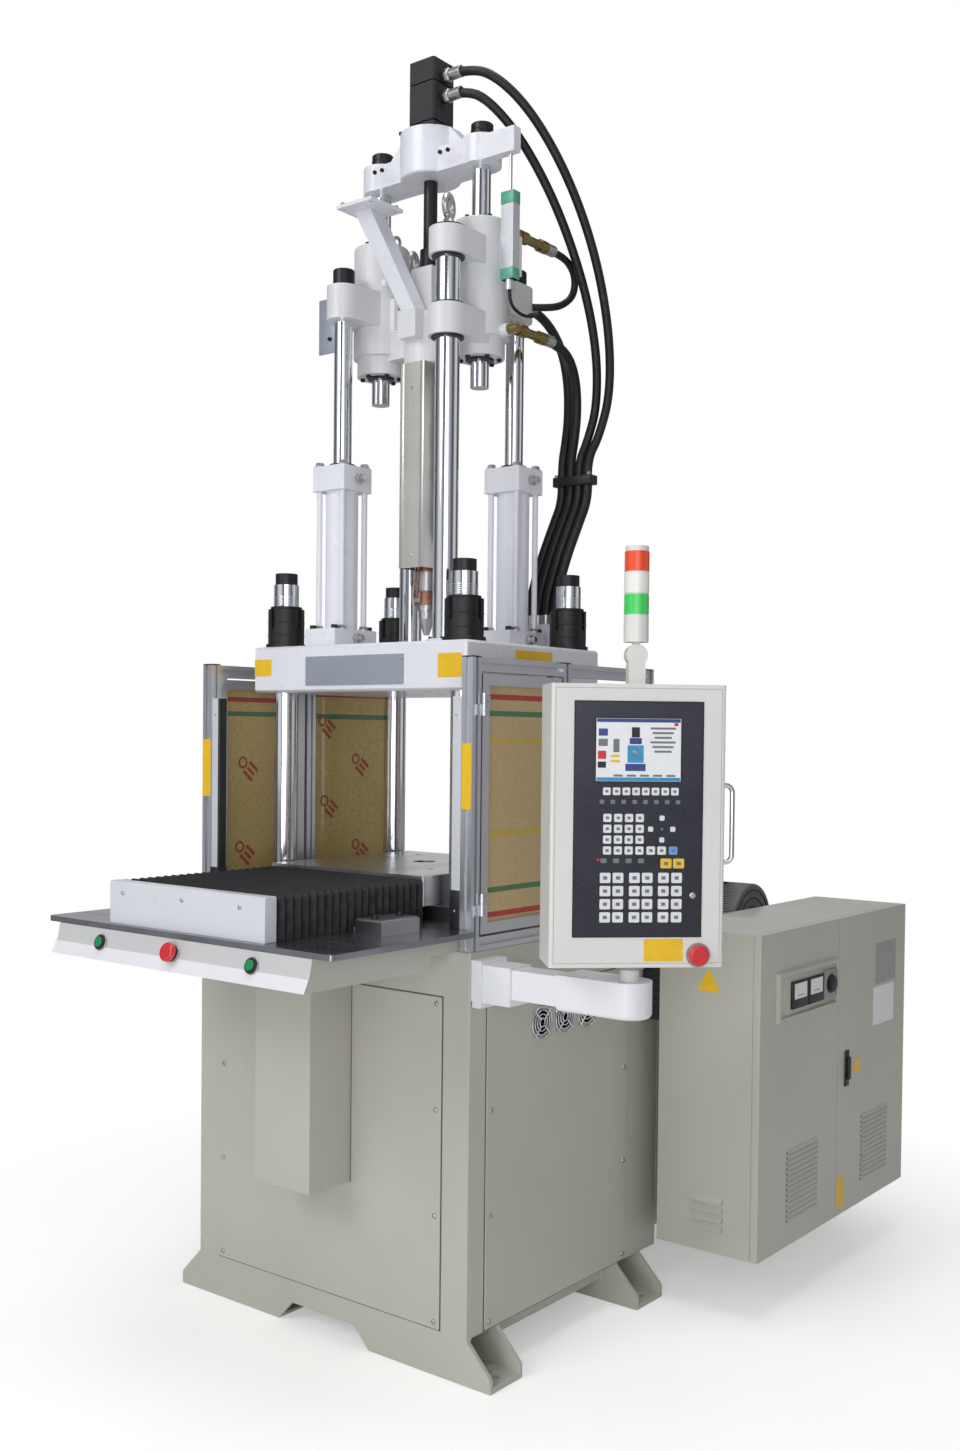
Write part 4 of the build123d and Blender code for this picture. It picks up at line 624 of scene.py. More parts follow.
def dress_vent(guards, y):
    """A wire guard on its stays, and the fan behind it."""
    centre = Vector((side_high.x + vent_wire, y, vent_height))
    inner = vent_wires[0]
    for radius in vent_wires:
        guards.ring(centre, RIGHT, radius, vent_wire, chrome)
    for turn in turns(vent_stays, start=0.5):
        out = heading(turn)
        start = centre + vent_wire * RIGHT + inner * out
        tip = centre + vent_wire * RIGHT + (vent_wires[-1] + 2 * vent_wire) * out
        guards.tube([start, (start + tip) / 2, tip], vent_wire, chrome, sides=8)
        guards.pan_screw(tip - vent_wire * RIGHT, RIGHT, panel_screw / 2, zinc)
    hub = Vector((side_high.x - fan_set, y, vent_height))
    guards.lathe(hub, RIGHT, [(inner, -fan_set), (inner, fan_set / 2),
                              (hub_edge_share * inner, hub_rise_share * fan_set)], black_plastic)
    for turn in turns(fan_blades):
        out, along = heading(turn), heading(turn + math.pi / 2)
        root, end = hub + (inner - vent_wire) * out, hub + (vent_radius - vent_wire) * out
        tip = blade_share * inner * along
        heel = heel_share * tip
        twist = fan_set / 2 * LEFT
        guards.prism([root - heel, end - tip, end + tip + twist, root + heel + twist], vent_wire * LEFT,
                     black_plastic)


def dress_base():
    piece = Piece("panel_screws", "base", "chrome")
    front_y = base_low.y - panel_sheet
    for z in spread(side_low.z + panel_screw_inset, side_high.z - panel_screw_inset, panel_screw_count):
        for x in (front_low.x + panel_screw_inset, front_high.x - panel_screw_inset):
            piece.pan_screw((x, front_y, z), FRONT, panel_screw, zinc)
        for y in (side_low.y + panel_screw_inset, side_high.y - panel_screw_inset):
            piece.pan_screw((side_high.x, y, z), RIGHT, panel_screw, zinc)
            piece.pan_screw((-side_high.x, y, z), LEFT, panel_screw, zinc)
    piece.done()

    # The dark strips around the panels and beside the service box are painted shade in the gaps between the
    # parts.
    seams = Piece("panel_seams", "base", "base_paint")
    middle = (side_low + side_high) / 2
    width, depth, height = front_high.x - front_low.x, side_high.y - side_low.y, side_high.z - side_low.z
    seams.frame((0, base_low.y, middle.z), RIGHT, UP, width, height, seam, seam_rise, seam_shade)
    for side in (RIGHT, LEFT):
        face = Vector((0, middle.y, middle.z)) + base_half * side
        seams.frame(face, side.cross(DOWN), UP, depth, height, seam, seam_rise, seam_shade)
    box_right = service_box / 2
    seams.box((box_right, front_y - seam_rise, front_low.z + service_box_low),
              (box_right + seam, front_y, front_high.z), seam_shade, bevel=fit_gap)
    seams.done()

    guards = Piece("vent_guards", "base", "chrome")
    for index in (-1, 0, 1):
        dress_vent(guards, index * vent_spacing)
    guards.done()


# Console, slide cover, bellows and stop block

button_tilt = math.radians(19)
button_out = Vector((0, -math.cos(button_tilt), math.sin(button_tilt)))
button_y, button_z = -796.0, 937.0
bezel_radius = 15.5
bezel_rise = 4.0
bezel_wall = 2.6
bezel_reach = 1.0
front_normal = -0.3
cover_screw_places = (-198.0, -5.0, 171.0)
cover_screw_height = 1045.0
cover_screw = 5.0
block_screw = 7.0
block_screw_inset = 21.0
block_lip = 14.0
block_gap = 0.2
fold_count = 20
fold_depth = 8.0
fold_corner_share = 1 / 3
crease = 1.2
bellows_sheet = 1.6


def dress_console():
    piece = Piece("button_bezels", "base", "chrome")
    seats = []
    for node in ("start_button_left", "stop_button", "start_button_right"):
        low, high = corners(node)
        seats.append(Vector(((low.x + high.x) / 2, button_y, button_z)))
        piece.sleeve(seats[-1], button_out, bezel_radius + fit_gap, bezel_radius + bezel_wall, bezel_rise,
                     zinc)
    piece.done()

    def on_bezel(spot, normal):
        for seat in seats:
            rise = (spot - seat).dot(button_out)
            if rise > bezel_reach and (spot - seat - rise * button_out).length < bezel_radius + bezel_reach:
                return True
        return False

    # Faces that do not face the front keep the base paint; the front keeps its painted shade band above and
    # painted highlight band below.
    tint("console", base_paint, lambda spot, normal: normal.y > front_normal)
    tint("console", black_plastic, on_bezel)

    cover_face = corners("slide_cover")[0].y
    low, high = corners("stop_block")
    piece = Piece("slide_screws", "base", "chrome")
    for x in cover_screw_places:
        piece.pan_screw((x, cover_face, cover_screw_height), FRONT, cover_screw, zinc)
    for y in (low.y + block_screw_inset, high.y - block_screw_inset):
        piece.cap_screw(((low.x + high.x) / 2, y, high.z), UP, block_screw, black_steel)
    piece.box((low.x - block_screw, low.y, low.z), (low.x - block_gap, high.y, low.z + block_lip),
              ground_steel)
    piece.done()


def dress_bellows():
    """A folded skin of creases and valleys, open below and at both ends."""
    low, high = corners("bellows")
    pitch = (high.y - low.y) / fold_count
    stations = []
    for index in range(fold_count):
        start = low.y + index * pitch
        stations += [(start, 0), (start + crease, 0), (start + pitch / 2 - crease / 2, fold_depth),
                     (start + pitch / 2 + crease / 2, fold_depth), (start + pitch - crease, 0)]
    stations.append((high.y, 0))
    corner = fold_corner_share * fold_depth
    part = bmesh.new()
    rows = []
    for y, inset in stations:
        x, top = high.x - inset, high.z - inset
        half = [(x - fold_depth, top), (x - corner, top - corner), (x, top - fold_depth), (x, low.z)]
        section = [(-across, z) for across, z in reversed(half)] + half
        rows.append([part.verts.new((across, y, z)) for across, z in section])
    for row, after in zip(rows, rows[1:]):
        for index in range(len(row) - 1):
            part.faces.new([row[index], row[index + 1], after[index + 1], after[index]])
    bmesh.ops.recalc_face_normals(part, faces=part.faces[:])
    bmesh.ops.solidify(part, geom=part.faces[:], thickness=bellows_sheet)
    piece = Piece("folding_bellows", "base", "bellows")
    piece.join(part, bellows_cloth)
    cover = piece.done()
    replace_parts(cover, "bellows")
    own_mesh(cover)


# Guards

post = 30.0
post_cap = 3.0
bracket_size = 26.0
bracket_sheet = 4.5
strip_low, strip_high = 1236.0, 1377.0
strip_width = 26.0
strip_extra = 4.0
hinge_screw = 3.0
hinge_leaf = 3.0
hinge_heights = (1032.0, 1460.0)
hinge_screw_places = (6.0, 18.0)
hinge_screw_inset = 14.0
screw_seat = 1.0
lens_margin = 40.0
lens_normal = 0.5
curtain_foot = 85.0
curtain_width = 28.0
foot_lap = 0.5
door_clearance = 5.0
print_size = 26.0
print_tilt = math.radians(-40)
print_ring_shift_share, print_ring_share = -0.7, 0.6
print_ring_width = 6.0
print_bar_shift_share, print_bar_share = 0.65, 0.34
print_bar_shares = ((-0.6, 1.5), (0.0, 1.1), (0.6, 1.4))     # place across and length
print_rise, print_corner = 0.2, 1.0
print_places = {"guard_pane_left": ((-216, 1306), (-225, 1092)),
                "guard_pane_rear": ((65, 1416), (197, 1312), (76, 1200), (200, 1076))}


def dress_guards():
    low, high = corners("guard_frame_right")
    curtain_low, curtain_high = corners("light_curtains")
    outer = base_half
    inner = outer - post
    posts = (low.y + post / 2, 0.0, high.y - post / 2)
    corner_places = ((posts[0] + post / 2, 1), (posts[1] - post / 2, -1), (posts[1] + post / 2, 1),
                     (posts[2] - post / 2, -1))
    piece = Piece("guard_fittings", "base", "aluminium")
    for side in (-1, 1):
        middle = side * (outer - post / 2)
        for y in posts:
            piece.box((middle - post / 2, y - post / 2, high.z),
                      (middle + post / 2, y + post / 2, high.z + post_cap), black_plastic)
        for y, way in corner_places:
            for z, rise in ((base_high.z + post, 1), (high.z - post, -1)):
                corner = Vector((side * inner, y, z))
                outline = [corner, corner + way * bracket_size * REAR, corner + rise * bracket_size * UP]
                if rise < 0 or side < 0:
                    piece.prism(outline, side * bracket_sheet * RIGHT, aluminium)
        width = strip_width if side > 0 else strip_width + strip_extra
        piece.card((middle, low.y, (strip_low + strip_high) / 2), RIGHT, UP, width, strip_high - strip_low,
                   yellow_film, thick=film)
        for z in (curtain_low.z + lens_margin, curtain_high.z - lens_margin):
            piece.pan_screw((side * (inner - post / 2), low.y + screw_seat, z), FRONT, hinge_screw, zinc)
        edges = sorted((side * (inner + foot_lap), side * (inner - curtain_width - foot_lap)))
        piece.box((edges[0], curtain_low.y - foot_lap, curtain_low.z),
                  (edges[1], curtain_high.y + foot_lap, curtain_low.z + curtain_foot), black_plastic)
        for z in hinge_heights:
            for drop in hinge_screw_places:
                seat = (side * (outer + hinge_leaf), low.y + post / 2 + screw_seat, z - drop)
                piece.pan_screw(seat, side * RIGHT, hinge_screw, zinc)
    piece.done()
    tint("light_curtains", black_plastic,
         lambda spot, normal: normal.x * (1 if spot.x < 0 else -1) > lens_normal)
    for side, body in ((-1, "left_guard"), (1, "right_guard")):
        leaf = Piece(body + "_screws", body, "chrome")
        for z in hinge_heights:
            for rise in hinge_screw_places:
                y = low.y + post + door_clearance + hinge_screw_inset
                leaf.pan_screw((side * (outer + hinge_leaf), y, z + rise), side * RIGHT, hinge_screw, zinc)
        leaf.done()


def print_panes():
    """Plain tilted marks on the panes' covering paper."""
    tilt = Matrix.Rotation(print_tilt, 3, "X")
    along, over = tilt @ REAR, tilt @ UP
    for node, body in (("guard_pane_left", "left_guard"), ("guard_pane_rear", "base")):
        piece = Piece(node + "_print", body, "kraft")
        for y, z in print_places[node]:
            centre = Vector((corners(node)[1].x, y, z))
            piece.ring_plate(centre + print_ring_shift_share * print_size * along, along, over,
                             print_ring_share * print_size, print_ring_width, pane_print)
            for step, length in print_bar_shares:
                spot = centre + print_size * (print_bar_shift_share * along + step * over)
                piece.card(spot, along, over, print_size * length, print_size * print_bar_share, pane_print,
                           thick=print_rise, radius=print_corner)
        piece.done()


# Clamp unit: platen plates, tie-bar ends, lift cylinders

platen_top = corners("lift_cylinders")[0].z
name_plate_width, name_plate_height = 314.0, 70.0
name_plate_z = 1543.0
name_plate_sheet = 1.2
platen_fields = ((-305.0, 1554.0, 60.0, 41.0), (292.0, 1549.0, 69.0, 54.0))     # x, z, width, height
platen_side_field = (-12.0, 1580.0, 147.0, 21.0)                                # y, z, width, height
plate_screw = 3.0
plate_screw_inset = 9.0
tie_x, tie_y = 284.5, 205.0
tie_nut_top = platen_top + 95.0
tie_nut_radius = 45.0
tie_nut_collar, tie_nut_collar_step = 7.0, 6.0
tie_nut_foot, tie_nut_foot_height = 5.0, 9.0
tie_nut_grooves = (30.0, 62.0)
groove_bead = 1.2
tie_sleeve_radius = 31.0
thread_start = 12.0
thread_pitch = 5.0
thread_count = 5
thread_bead = 0.9
column_x, column_y = 167.0, 131.0
collar_radius = 44.0
collar_height = 12.0
collar_screw = 4.0
collar_screw_ring = 36.5
ring_screws = 6
guide_radius = 29.5
flange_height = 45.0
flange_screw = 8.0
flange_screw_x, flange_screw_y = 36.0, 62.0
head_cap = 12.0
stay_offset = 39.0
stay_nut = 11.0
stay_nut_top, stay_nut_low = 9.0, 8.0
gland_radius = 33.0
gland_height = 9.0
rod_radius = 22.5
port_places = ((24.0, 50.0), (30.0, 53.0))     # height over the platen or drop from the head, and reach
port_nut = 13.0
port_nut_length, port_nut_edge = 9.0, 11.0
port_nut_share = 0.9
port_stub = [(8.0, 0), (8.0, 12.0), (6.0, 13.5)]
lift_nut_height = 42.0
lift_nut_reach = 1.0
# Eyes: outline of the foot, height of the ring's middle, its axis, its radius and its bar's radius.
large_eye = ([(22.0, 0), (22.0, 7.0), (15.0, 14.0), (11.0, 24.0)], 52.0, Vector((1, 0.35, 0)).normalized(),
             25.0, 8.0)
small_eye = ([(10.0, 0), (10.0, 3.0), (6.0, 6.0)], 17.0, RIGHT, 11.0, 4.0)


def eye_bolt(piece, base, eye):
    """A forged eye screwed in from above."""
    foot, height, facing, radius, bar = eye
    piece.lathe(base, UP, foot, zinc)
    piece.ring(Vector(base) + height * UP, facing, radius, bar, zinc)


def screw_circle(piece, centre, axis, radius, screw, start=0.0):
    """Cap screws evenly on a circle in the XY plane."""
    for turn in turns(ring_screws, start):
        out = Vector((math.cos(turn), math.sin(turn), 0))
        piece.cap_screw(Vector(centre) + radius * out, axis, screw, black_steel)


def dress_clamp():
    low, high = corners("upper_platen")
    piece = Piece("platen_plates", "clamp", "unit_paint")
    piece.card((0, low.y, name_plate_z), RIGHT, UP, name_plate_width, name_plate_height, plate_film,
               thick=name_plate_sheet)
    for x, z in four(name_plate_width / 2 - plate_screw_inset, name_plate_height / 2 - plate_screw_inset):
        piece.pan_screw((x, low.y - name_plate_sheet, name_plate_z + z), FRONT, plate_screw, zinc)
    for x, z, width, height in platen_fields:
        piece.card((x, low.y, z), RIGHT, UP, width, height, yellow_film, thick=film)
    y, z, width, height = platen_side_field
    piece.card((high.x, y, z), REAR, UP, width, height, yellow_film, thick=film)
    piece.done()

    ends = Piece("tie_bar_trim", "clamp", "black_steel")
    for x, y in four(tie_x, tie_y):
        ends.sleeve((x, y, tie_nut_top), UP, tie_sleeve_radius + fit_gap,
                    tie_nut_radius - tie_nut_collar_step, tie_nut_collar, black_steel)
        for index in range(thread_count):
            z = tie_nut_top + thread_start + index * thread_pitch
            ends.ring((x, y, z), UP, tie_sleeve_radius, thread_bead, chrome)
        ends.sleeve((x, y, platen_top), UP, tie_nut_radius + fit_gap, tie_nut_radius + tie_nut_foot,
                    tie_nut_foot_height, black_steel)
        for z in tie_nut_grooves:
            ends.ring((x, y, platen_top + z), UP, tie_nut_radius, groove_bead, black_steel)
    ends.done()

    nut_low = corners("lift_rods")[1].z - lift_nut_height - lift_nut_reach
    tint("lift_rods", black_steel, lambda spot, normal: spot.z > nut_low)
    lifts = Piece("lift_cylinder_trim", "clamp", "unit_paint")
    head_top = corners("lift_cylinders")[1].z - head_cap
    flange_top = platen_top + flange_height
    (low_port, low_reach), (high_port, high_reach) = port_places
    ports = ((platen_top + low_port, low_reach), (head_top - high_port, high_reach))
    for side in (-1, 1):
        x, y = side * column_x, side * column_y
        for sx, sy in four(flange_screw_x, flange_screw_y):
            lifts.cap_screw((x + sx, y + sy, flange_top), UP, flange_screw, black_steel)
        for sx, sy in four(stay_offset, stay_offset):
            lifts.hex_nut((x + sx, y + sy, head_top), UP, stay_nut, stay_nut_top, zinc, stud=False)
            lifts.hex_nut((x + sx, y + sy, flange_top), UP, stay_nut, stay_nut_low, zinc, stud=False)
        lifts.sleeve((x, y, head_top), UP, rod_radius + run_gap, gland_radius, gland_height, black_steel)
        for z, reach in ports:
            start = Vector((x + reach, y, z))
            lifts.lathe(start, RIGHT, [(port_nut, 0), (port_nut, port_nut_length),
                                       (port_nut_share * port_nut, port_nut_edge)], zinc, sides=6)
            lifts.lathe(start + port_nut_edge * RIGHT, RIGHT, port_stub, zinc)
        collar = Vector((x, -y, platen_top))
        lifts.sleeve(collar, UP, guide_radius + fit_gap, collar_radius, collar_height, unit_paint)
        screw_circle(lifts, collar + collar_height * UP, UP, collar_screw_ring, collar_screw)
        eye_bolt(lifts, (x, -y, corners("guide_columns")[1].z), large_eye)
    lifts.done()


# Injection unit

injection_x = 160.0
carriage_bottom, housing_top = (corner.z for corner in corners("carriage"))
wiper_top_radius, wiper_top_height = 36.0, 8.0
wiper_low_radius, wiper_low_height = 34.0, 6.0
cap_screw_ring, cap_screw_radius = 47.0, 6.0
top_screw_ring, top_screw_radius = 54.0, 5.5
guide_bosses = ((24.0, 71.0), (210.0, 63.0))     # height over the carriage's bottom, and length
guide_gap = 0.5
guide_seal = 5.0
guide_seal_top, guide_seal_low = 41.0, 39.0
eye_inset, eye_shift, eye_drop = 58.0, 8.0, 9.0
chute_foot = Vector((0.0, -60.0, 128.0))         # from the carriage's bottom, like the head
chute_head = Vector((-70.0, -145.0, 355.0))
knob_share = 0.33
knob_stem = [(5.0, 0), (5.0, 14.0)]
knob_stem_reach, knob_reach = 22.0, 34.0
knob_radius = 12.0
knob_steps = 10
hopper_x, hopper_y = -58.0, -158.0
hopper_nut_place = 45.0
hopper_nut, hopper_nut_height = 6.5, 6.0
ruler_low, ruler_high = Vector((-103.0, -35.0, 2396.0)), Vector((-75.0, -32.5, 2478.0))
ruler_margin = 5.0
ruler_marks = 15
ruler_mark_far, ruler_mark_near = 10.0, 1.0
ruler_mark_half, ruler_mark_rise = 0.8, 0.4
side_plate_low, side_plate_high = Vector((-262.0, -121.0, 2346.0)), Vector((-205.0, -115.0, 2482.0))
side_plate_screw_x = -222.0
side_plate_screw_heights = (2380.0, 2450.0)
side_plate_screw = 5.0
jacket_screw = 4.0
jacket_screw_low, jacket_screw_high = 30.0, 60.0
hem, hem_rise, hem_edge = 12.0, 1.2, 0.4
terminal_heights = (17.0, 99.0)
terminal_half_width, terminal_half_height = 9.0, 12.0
terminal_depth = 9.0
terminal_sink = 1.0
terminal_screw_place, terminal_screw = 5.0, 3.0
wire_stand = 1.5
wire_radius = 2.2
wire_route = ((0, 0, 0), (0, -2, 6), (3, -2, 30), (6, -1, 62), (5, 8, 90))
gauge_foot = 24.0
gauge_low_cap, gauge_high_cap = 26.0, 30.0
gauge_lap = 0.8
motor_screw_place, motor_screw, motor_screw_sink = 52.5, 5.6, 0.2
motor_ports = (85.0, 135.0)
motor_port_inset = 14.0
motor_port_nut = [(17.0, 0), (17.0, 11.0), (15.5, 13.0)]
rod_nut_radius = 27.0
rod_nut_grooves = (8.0, 20.0)
rod_nut_bead = 1.0
pinch_screw = 5.0
pinch_x, pinch_half, pinch_sink, pinch_rise = 105.0, 12.0, 2.0, 28.0


def dress_carriage():
    piece = Piece("carriage_trim", "injection_carriage", "unit_paint")
    for side in (-1, 1):
        x = side * injection_x
        rod_bore = rod_radius + run_gap
        piece.sleeve((x, 0, housing_top), UP, rod_bore, wiper_top_radius, wiper_top_height, black_steel)
        piece.sleeve((x, 0, carriage_bottom - wiper_low_height), UP, rod_bore, wiper_low_radius,
                     wiper_low_height, black_steel)
        screw_circle(piece, (x, 0, carriage_bottom), DOWN, cap_screw_ring, cap_screw_radius, start=0.5)
        screw_circle(piece, (x, 0, housing_top), UP, top_screw_ring, top_screw_radius, start=0.5)
        for boss_low, boss_length in guide_bosses:
            foot = Vector((side * column_x, -side * column_y, carriage_bottom + boss_low))
            bore = guide_radius + guide_gap
            piece.sleeve(foot + boss_length * UP, UP, bore, guide_seal_top, guide_seal, black_steel)
            piece.sleeve(foot - guide_seal * UP, UP, bore, guide_seal_low, guide_seal, black_steel)
        eye_bolt(piece, (x - side * eye_inset, side * eye_shift, housing_top - eye_drop), small_eye)
    piece.done()


def dress_chute():
    """The chute's knob, the hopper nuts, the scale beside it and a plate on the housing."""
    chute = Piece("chute_trim", "injection_carriage", "unit_paint")
    knob = chute_foot.lerp(chute_head, knob_share) + carriage_bottom * UP
    chute.lathe(knob + knob_stem_reach * LEFT, LEFT, knob_stem, zinc)
    arc = [math.pi * step / knob_steps for step in range(1, knob_steps)]
    ball = [(knob_radius * math.sin(turn), knob_radius * (1 - math.cos(turn))) for turn in arc]
    chute.lathe(knob + knob_reach * LEFT, LEFT, ball, unit_paint)
    flange_top = corners("feed_chute")[1].z
    for x, y in four(hopper_nut_place, hopper_nut_place):
        chute.hex_nut((hopper_x + x, hopper_y + y, flange_top), UP, hopper_nut, hopper_nut_height, zinc)
    chute.box(ruler_low, ruler_high, white_film, bevel=0.6)
    for z in spread(ruler_low.z + ruler_margin, ruler_high.z - ruler_margin, ruler_marks):
        chute.box((ruler_high.x - ruler_mark_far, ruler_low.y - ruler_mark_rise, z - ruler_mark_half),
                  (ruler_high.x - ruler_mark_near, ruler_low.y + ruler_mark_rise, z + ruler_mark_half),
                  black_plastic, bevel=fit_gap)
    chute.box(side_plate_low, side_plate_high, plate_film)
    for z in side_plate_screw_heights:
        chute.cap_screw((side_plate_screw_x, side_plate_low.y, z), FRONT, side_plate_screw, black_steel)
    chute.done()


def dress_barrel():
    """Hems and screws on the barrel's cover, terminals and wires on the bands, caps on the transducer."""
    low, high = corners("barrel_cover")
    jacket = Piece("barrel_cover_trim", "injection_carriage", "stainless")
    for z in (low.z + jacket_screw_low, high.z - jacket_screw_high):
        jacket.pan_screw((0, low.y, z), FRONT, jacket_screw, zinc)
    for x in (low.x, high.x - hem):
        jacket.box((x, low.y - hem_rise, low.z), (x + hem, low.y, high.z), stainless, bevel=hem_edge)
    bands = corners("heater_bands")[0]
    face = bands.y - terminal_depth
    for height in terminal_heights:
        z = bands.z + height
        jacket.box((-terminal_half_width, face, z - terminal_half_height),
                   (terminal_half_width, bands.y + terminal_sink, z + terminal_half_height), zinc)
        for x in (-terminal_screw_place, terminal_screw_place):
            jacket.cap_screw((x, face, z), FRONT, terminal_screw, brass)
            start = Vector((x, face - wire_stand, z))
            jacket.tube([start + Vector(step) for step in wire_route], wire_radius, copper, sides=8)
    jacket.done()

    low, high = corners("transducer")
    gauge = Piece("transducer_ends", "injection_carriage", "aluminium")
    body_low = low.z + gauge_foot
    for cap_low, cap_high in ((body_low, body_low + gauge_low_cap), (high.z - gauge_high_cap, high.z)):
        gauge.box((low.x - gauge_lap, low.y - gauge_lap, cap_low),
                  (high.x + gauge_lap, high.y + gauge_lap, cap_high), pale_green, bevel=1.5)
    gauge.done()


def dress_crosshead():
    low, high = corners("crosshead")
    motor_low, motor_high = corners("screw_motor")
    nuts = corners("rod_nuts")[0].z
    piece = Piece("crosshead_trim", "injection_crosshead", "unit_paint")
    for x, y in four(motor_screw_place, motor_screw_place):
        piece.cap_screw((x, y, high.z - motor_screw_sink), UP, motor_screw, black_steel)
    for height in motor_ports:
        seat = (motor_high.x - motor_port_inset, 0, motor_low.z + height)
        piece.lathe(seat, RIGHT, motor_port_nut, zinc, sides=6)
    for side in (-1, 1):
        for height in rod_nut_grooves:
            piece.ring((side * injection_x, 0, nuts + height), UP, rod_nut_radius, rod_nut_bead, black_steel)
        for way in (-pinch_half, pinch_half):
            seat = (side * pinch_x + way, low.y + pinch_sink, low.z + pinch_rise)
            piece.cap_screw(seat, FRONT, pinch_screw, black_steel)
    piece.done()


# Hoses: the routes of the CAD tubes, in millimetres

motor_upper = [(62, 0, 3002.3), (105, 0, 3002.3), (172, 18, 2985.2), (240.1, 78, 2905.4),
               (289.9, 165, 2769.6), (318.1, 249.9, 2600.5), (325.9, 309.9, 2420), (316, 336, 2260.4),
               (292, 321.9, 2150.2), (274, 300, 2095.1), (274, 300, 2052.3)]
motor_lower = [(62, 0, 2952.3), (99.9, 0, 2952.3), (155.9, 18, 2929.8), (216, 80.1, 2839.8),
               (260.1, 165, 2700.3), (288, 245.1, 2530.2), (296, 300, 2370), (284.1, 324, 2229.6),
               (261.9, 314.1, 2139.6), (248, 300, 2091.9), (248, 300, 2052.3)]
port_hose = [(263, 120, 2355.3), (263, 165, 2355.3), (257, 232, 2340.2), (243, 286, 2295.9),
             (230, 314, 2224.1), (224, 312.1, 2149.9), (222, 300, 2095.9), (222, 300, 2052.3)]
boss_hose = [(167, 173, 2460.3), (167, 215, 2460.3), (172, 272.1, 2435.8), (182, 314, 2379.9),
             (190, 330, 2300), (195, 326, 2210.2), (196.5, 311.9, 2140), (196, 300, 2091.9),
             (196, 300, 2052.3)]
bundle_hose = [(196, 300, 2028.3), (196, 300, 1990.2), (184, 280, 1930.2), (162, 258, 1840.2),
               (148, 244.5, 1765), (140, 241, 1718), (140, 241, 1675.3)]
loop_hose = [(263, 120, 2575.3), (263, 165, 2575.3), (261, 222, 2569.6), (255, 262, 2543.8),
             (246, 270, 2500.8), (238, 232, 2467.4), (224, 188, 2453.8), (196.7, 160.7, 2453.8)]
sensor_lead = [(268, -27, 2436.3), (268, -27, 2418), (268, -12, 2398), (266, 30, 2390), (262, 75.1, 2400),
               (250.1, 112, 2416), (232.2, 131, 2425.3), (209.3, 131, 2425.3)]
heater_conduit = [(70, 12, 2327.3), (70, 12, 2285.1), (74, 12, 2234.9), (70, 12, 2180), (75, 12, 2129.9),
                  (70, 12, 2080.1), (75, 12, 2030), (70, 12, 1979.8), (75, 12, 1930.1), (70, 12, 1890.2),
                  (59, 12, 1858.3), (38, 12, 1858.3)]
motor_hose_radius = 11.0
bundle_radius = 12.0
fixed_hoses = (("port_hose", port_hose, bundle_radius, "hose_bundle"),
               ("boss_hose", boss_hose, bundle_radius, "hose_bundle"),
               ("loop_hose", loop_hose, 9.0, "carriage_leads"),
               ("sensor_lead", sensor_lead, 4.0, "carriage_leads"),
               ("heater_conduit", heater_conduit, 6.0, "carriage_leads"))
hose_pitch = 26.0
hose_count = 4
hose_order = 3
hose_steps = 12
bevel_steps = 4
clamp_margin = 18.0
clamp_nut, clamp_nut_inset = 5.0, 11.0
ferrule_length = 34.0
ferrule_inner, ferrule_outer = 9.0, 14.0
platen_ferrule_length, platen_ferrule_outer = 23.8, 13.0


def spline_curve(name, route):
    """A smooth line with the route's points as its control points."""
    curve = bpy.data.curves.new(name, "CURVE")
    curve.dimensions = "3D"
    curve.resolution_u = hose_steps
    spline = curve.splines.new("NURBS")
    spline.points.add(len(route) - 1)
    for point, spot in zip(spline.points, route):
        point.co = (*(Vector(spot) * MM), 1.0)
    spline.order_u = hose_order
    spline.use_endpoint_u = True
    return curve


def line_points(route):
    """Points along the smooth line, in metres."""
    holder = bpy.data.objects.new("route_line", spline_curve("route_line", route))
    bpy.context.scene.collection.objects.link(holder)
    bpy.context.view_layer.update()
    mesh = bpy.data.meshes.new_from_object(holder)
    points = [vertex.co.copy() for vertex in mesh.vertices]
    bpy.data.objects.remove(holder)
    bpy.data.meshes.remove(mesh)
    return points


def fixed_hose(name, route, radius, node):
    """A hose that moves with the carriage as one piece."""
    curve = spline_curve(name, route)
    curve.bevel_depth = radius * MM
    curve.bevel_resolution = bevel_steps
    curve.use_fill_caps = True
    curve.materials.append(rubber)
    thing = bpy.data.objects.new(name, curve)
    bpy.context.scene.collection.objects.link(thing)
    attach(thing, "injection_carriage")
    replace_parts(thing, node)
    line_points(route)


def bending_hose(name, route, radius, node, first):
    """A hose laid along its curved route between two bodies, attached to neither."""
    points = line_points(route)
    piece = Piece(name, first, "hose")
    piece.tube([point / MM for point in points], radius, rubber)
    thing = piece.done(ride=False)
    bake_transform(thing)
    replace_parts(thing, node)


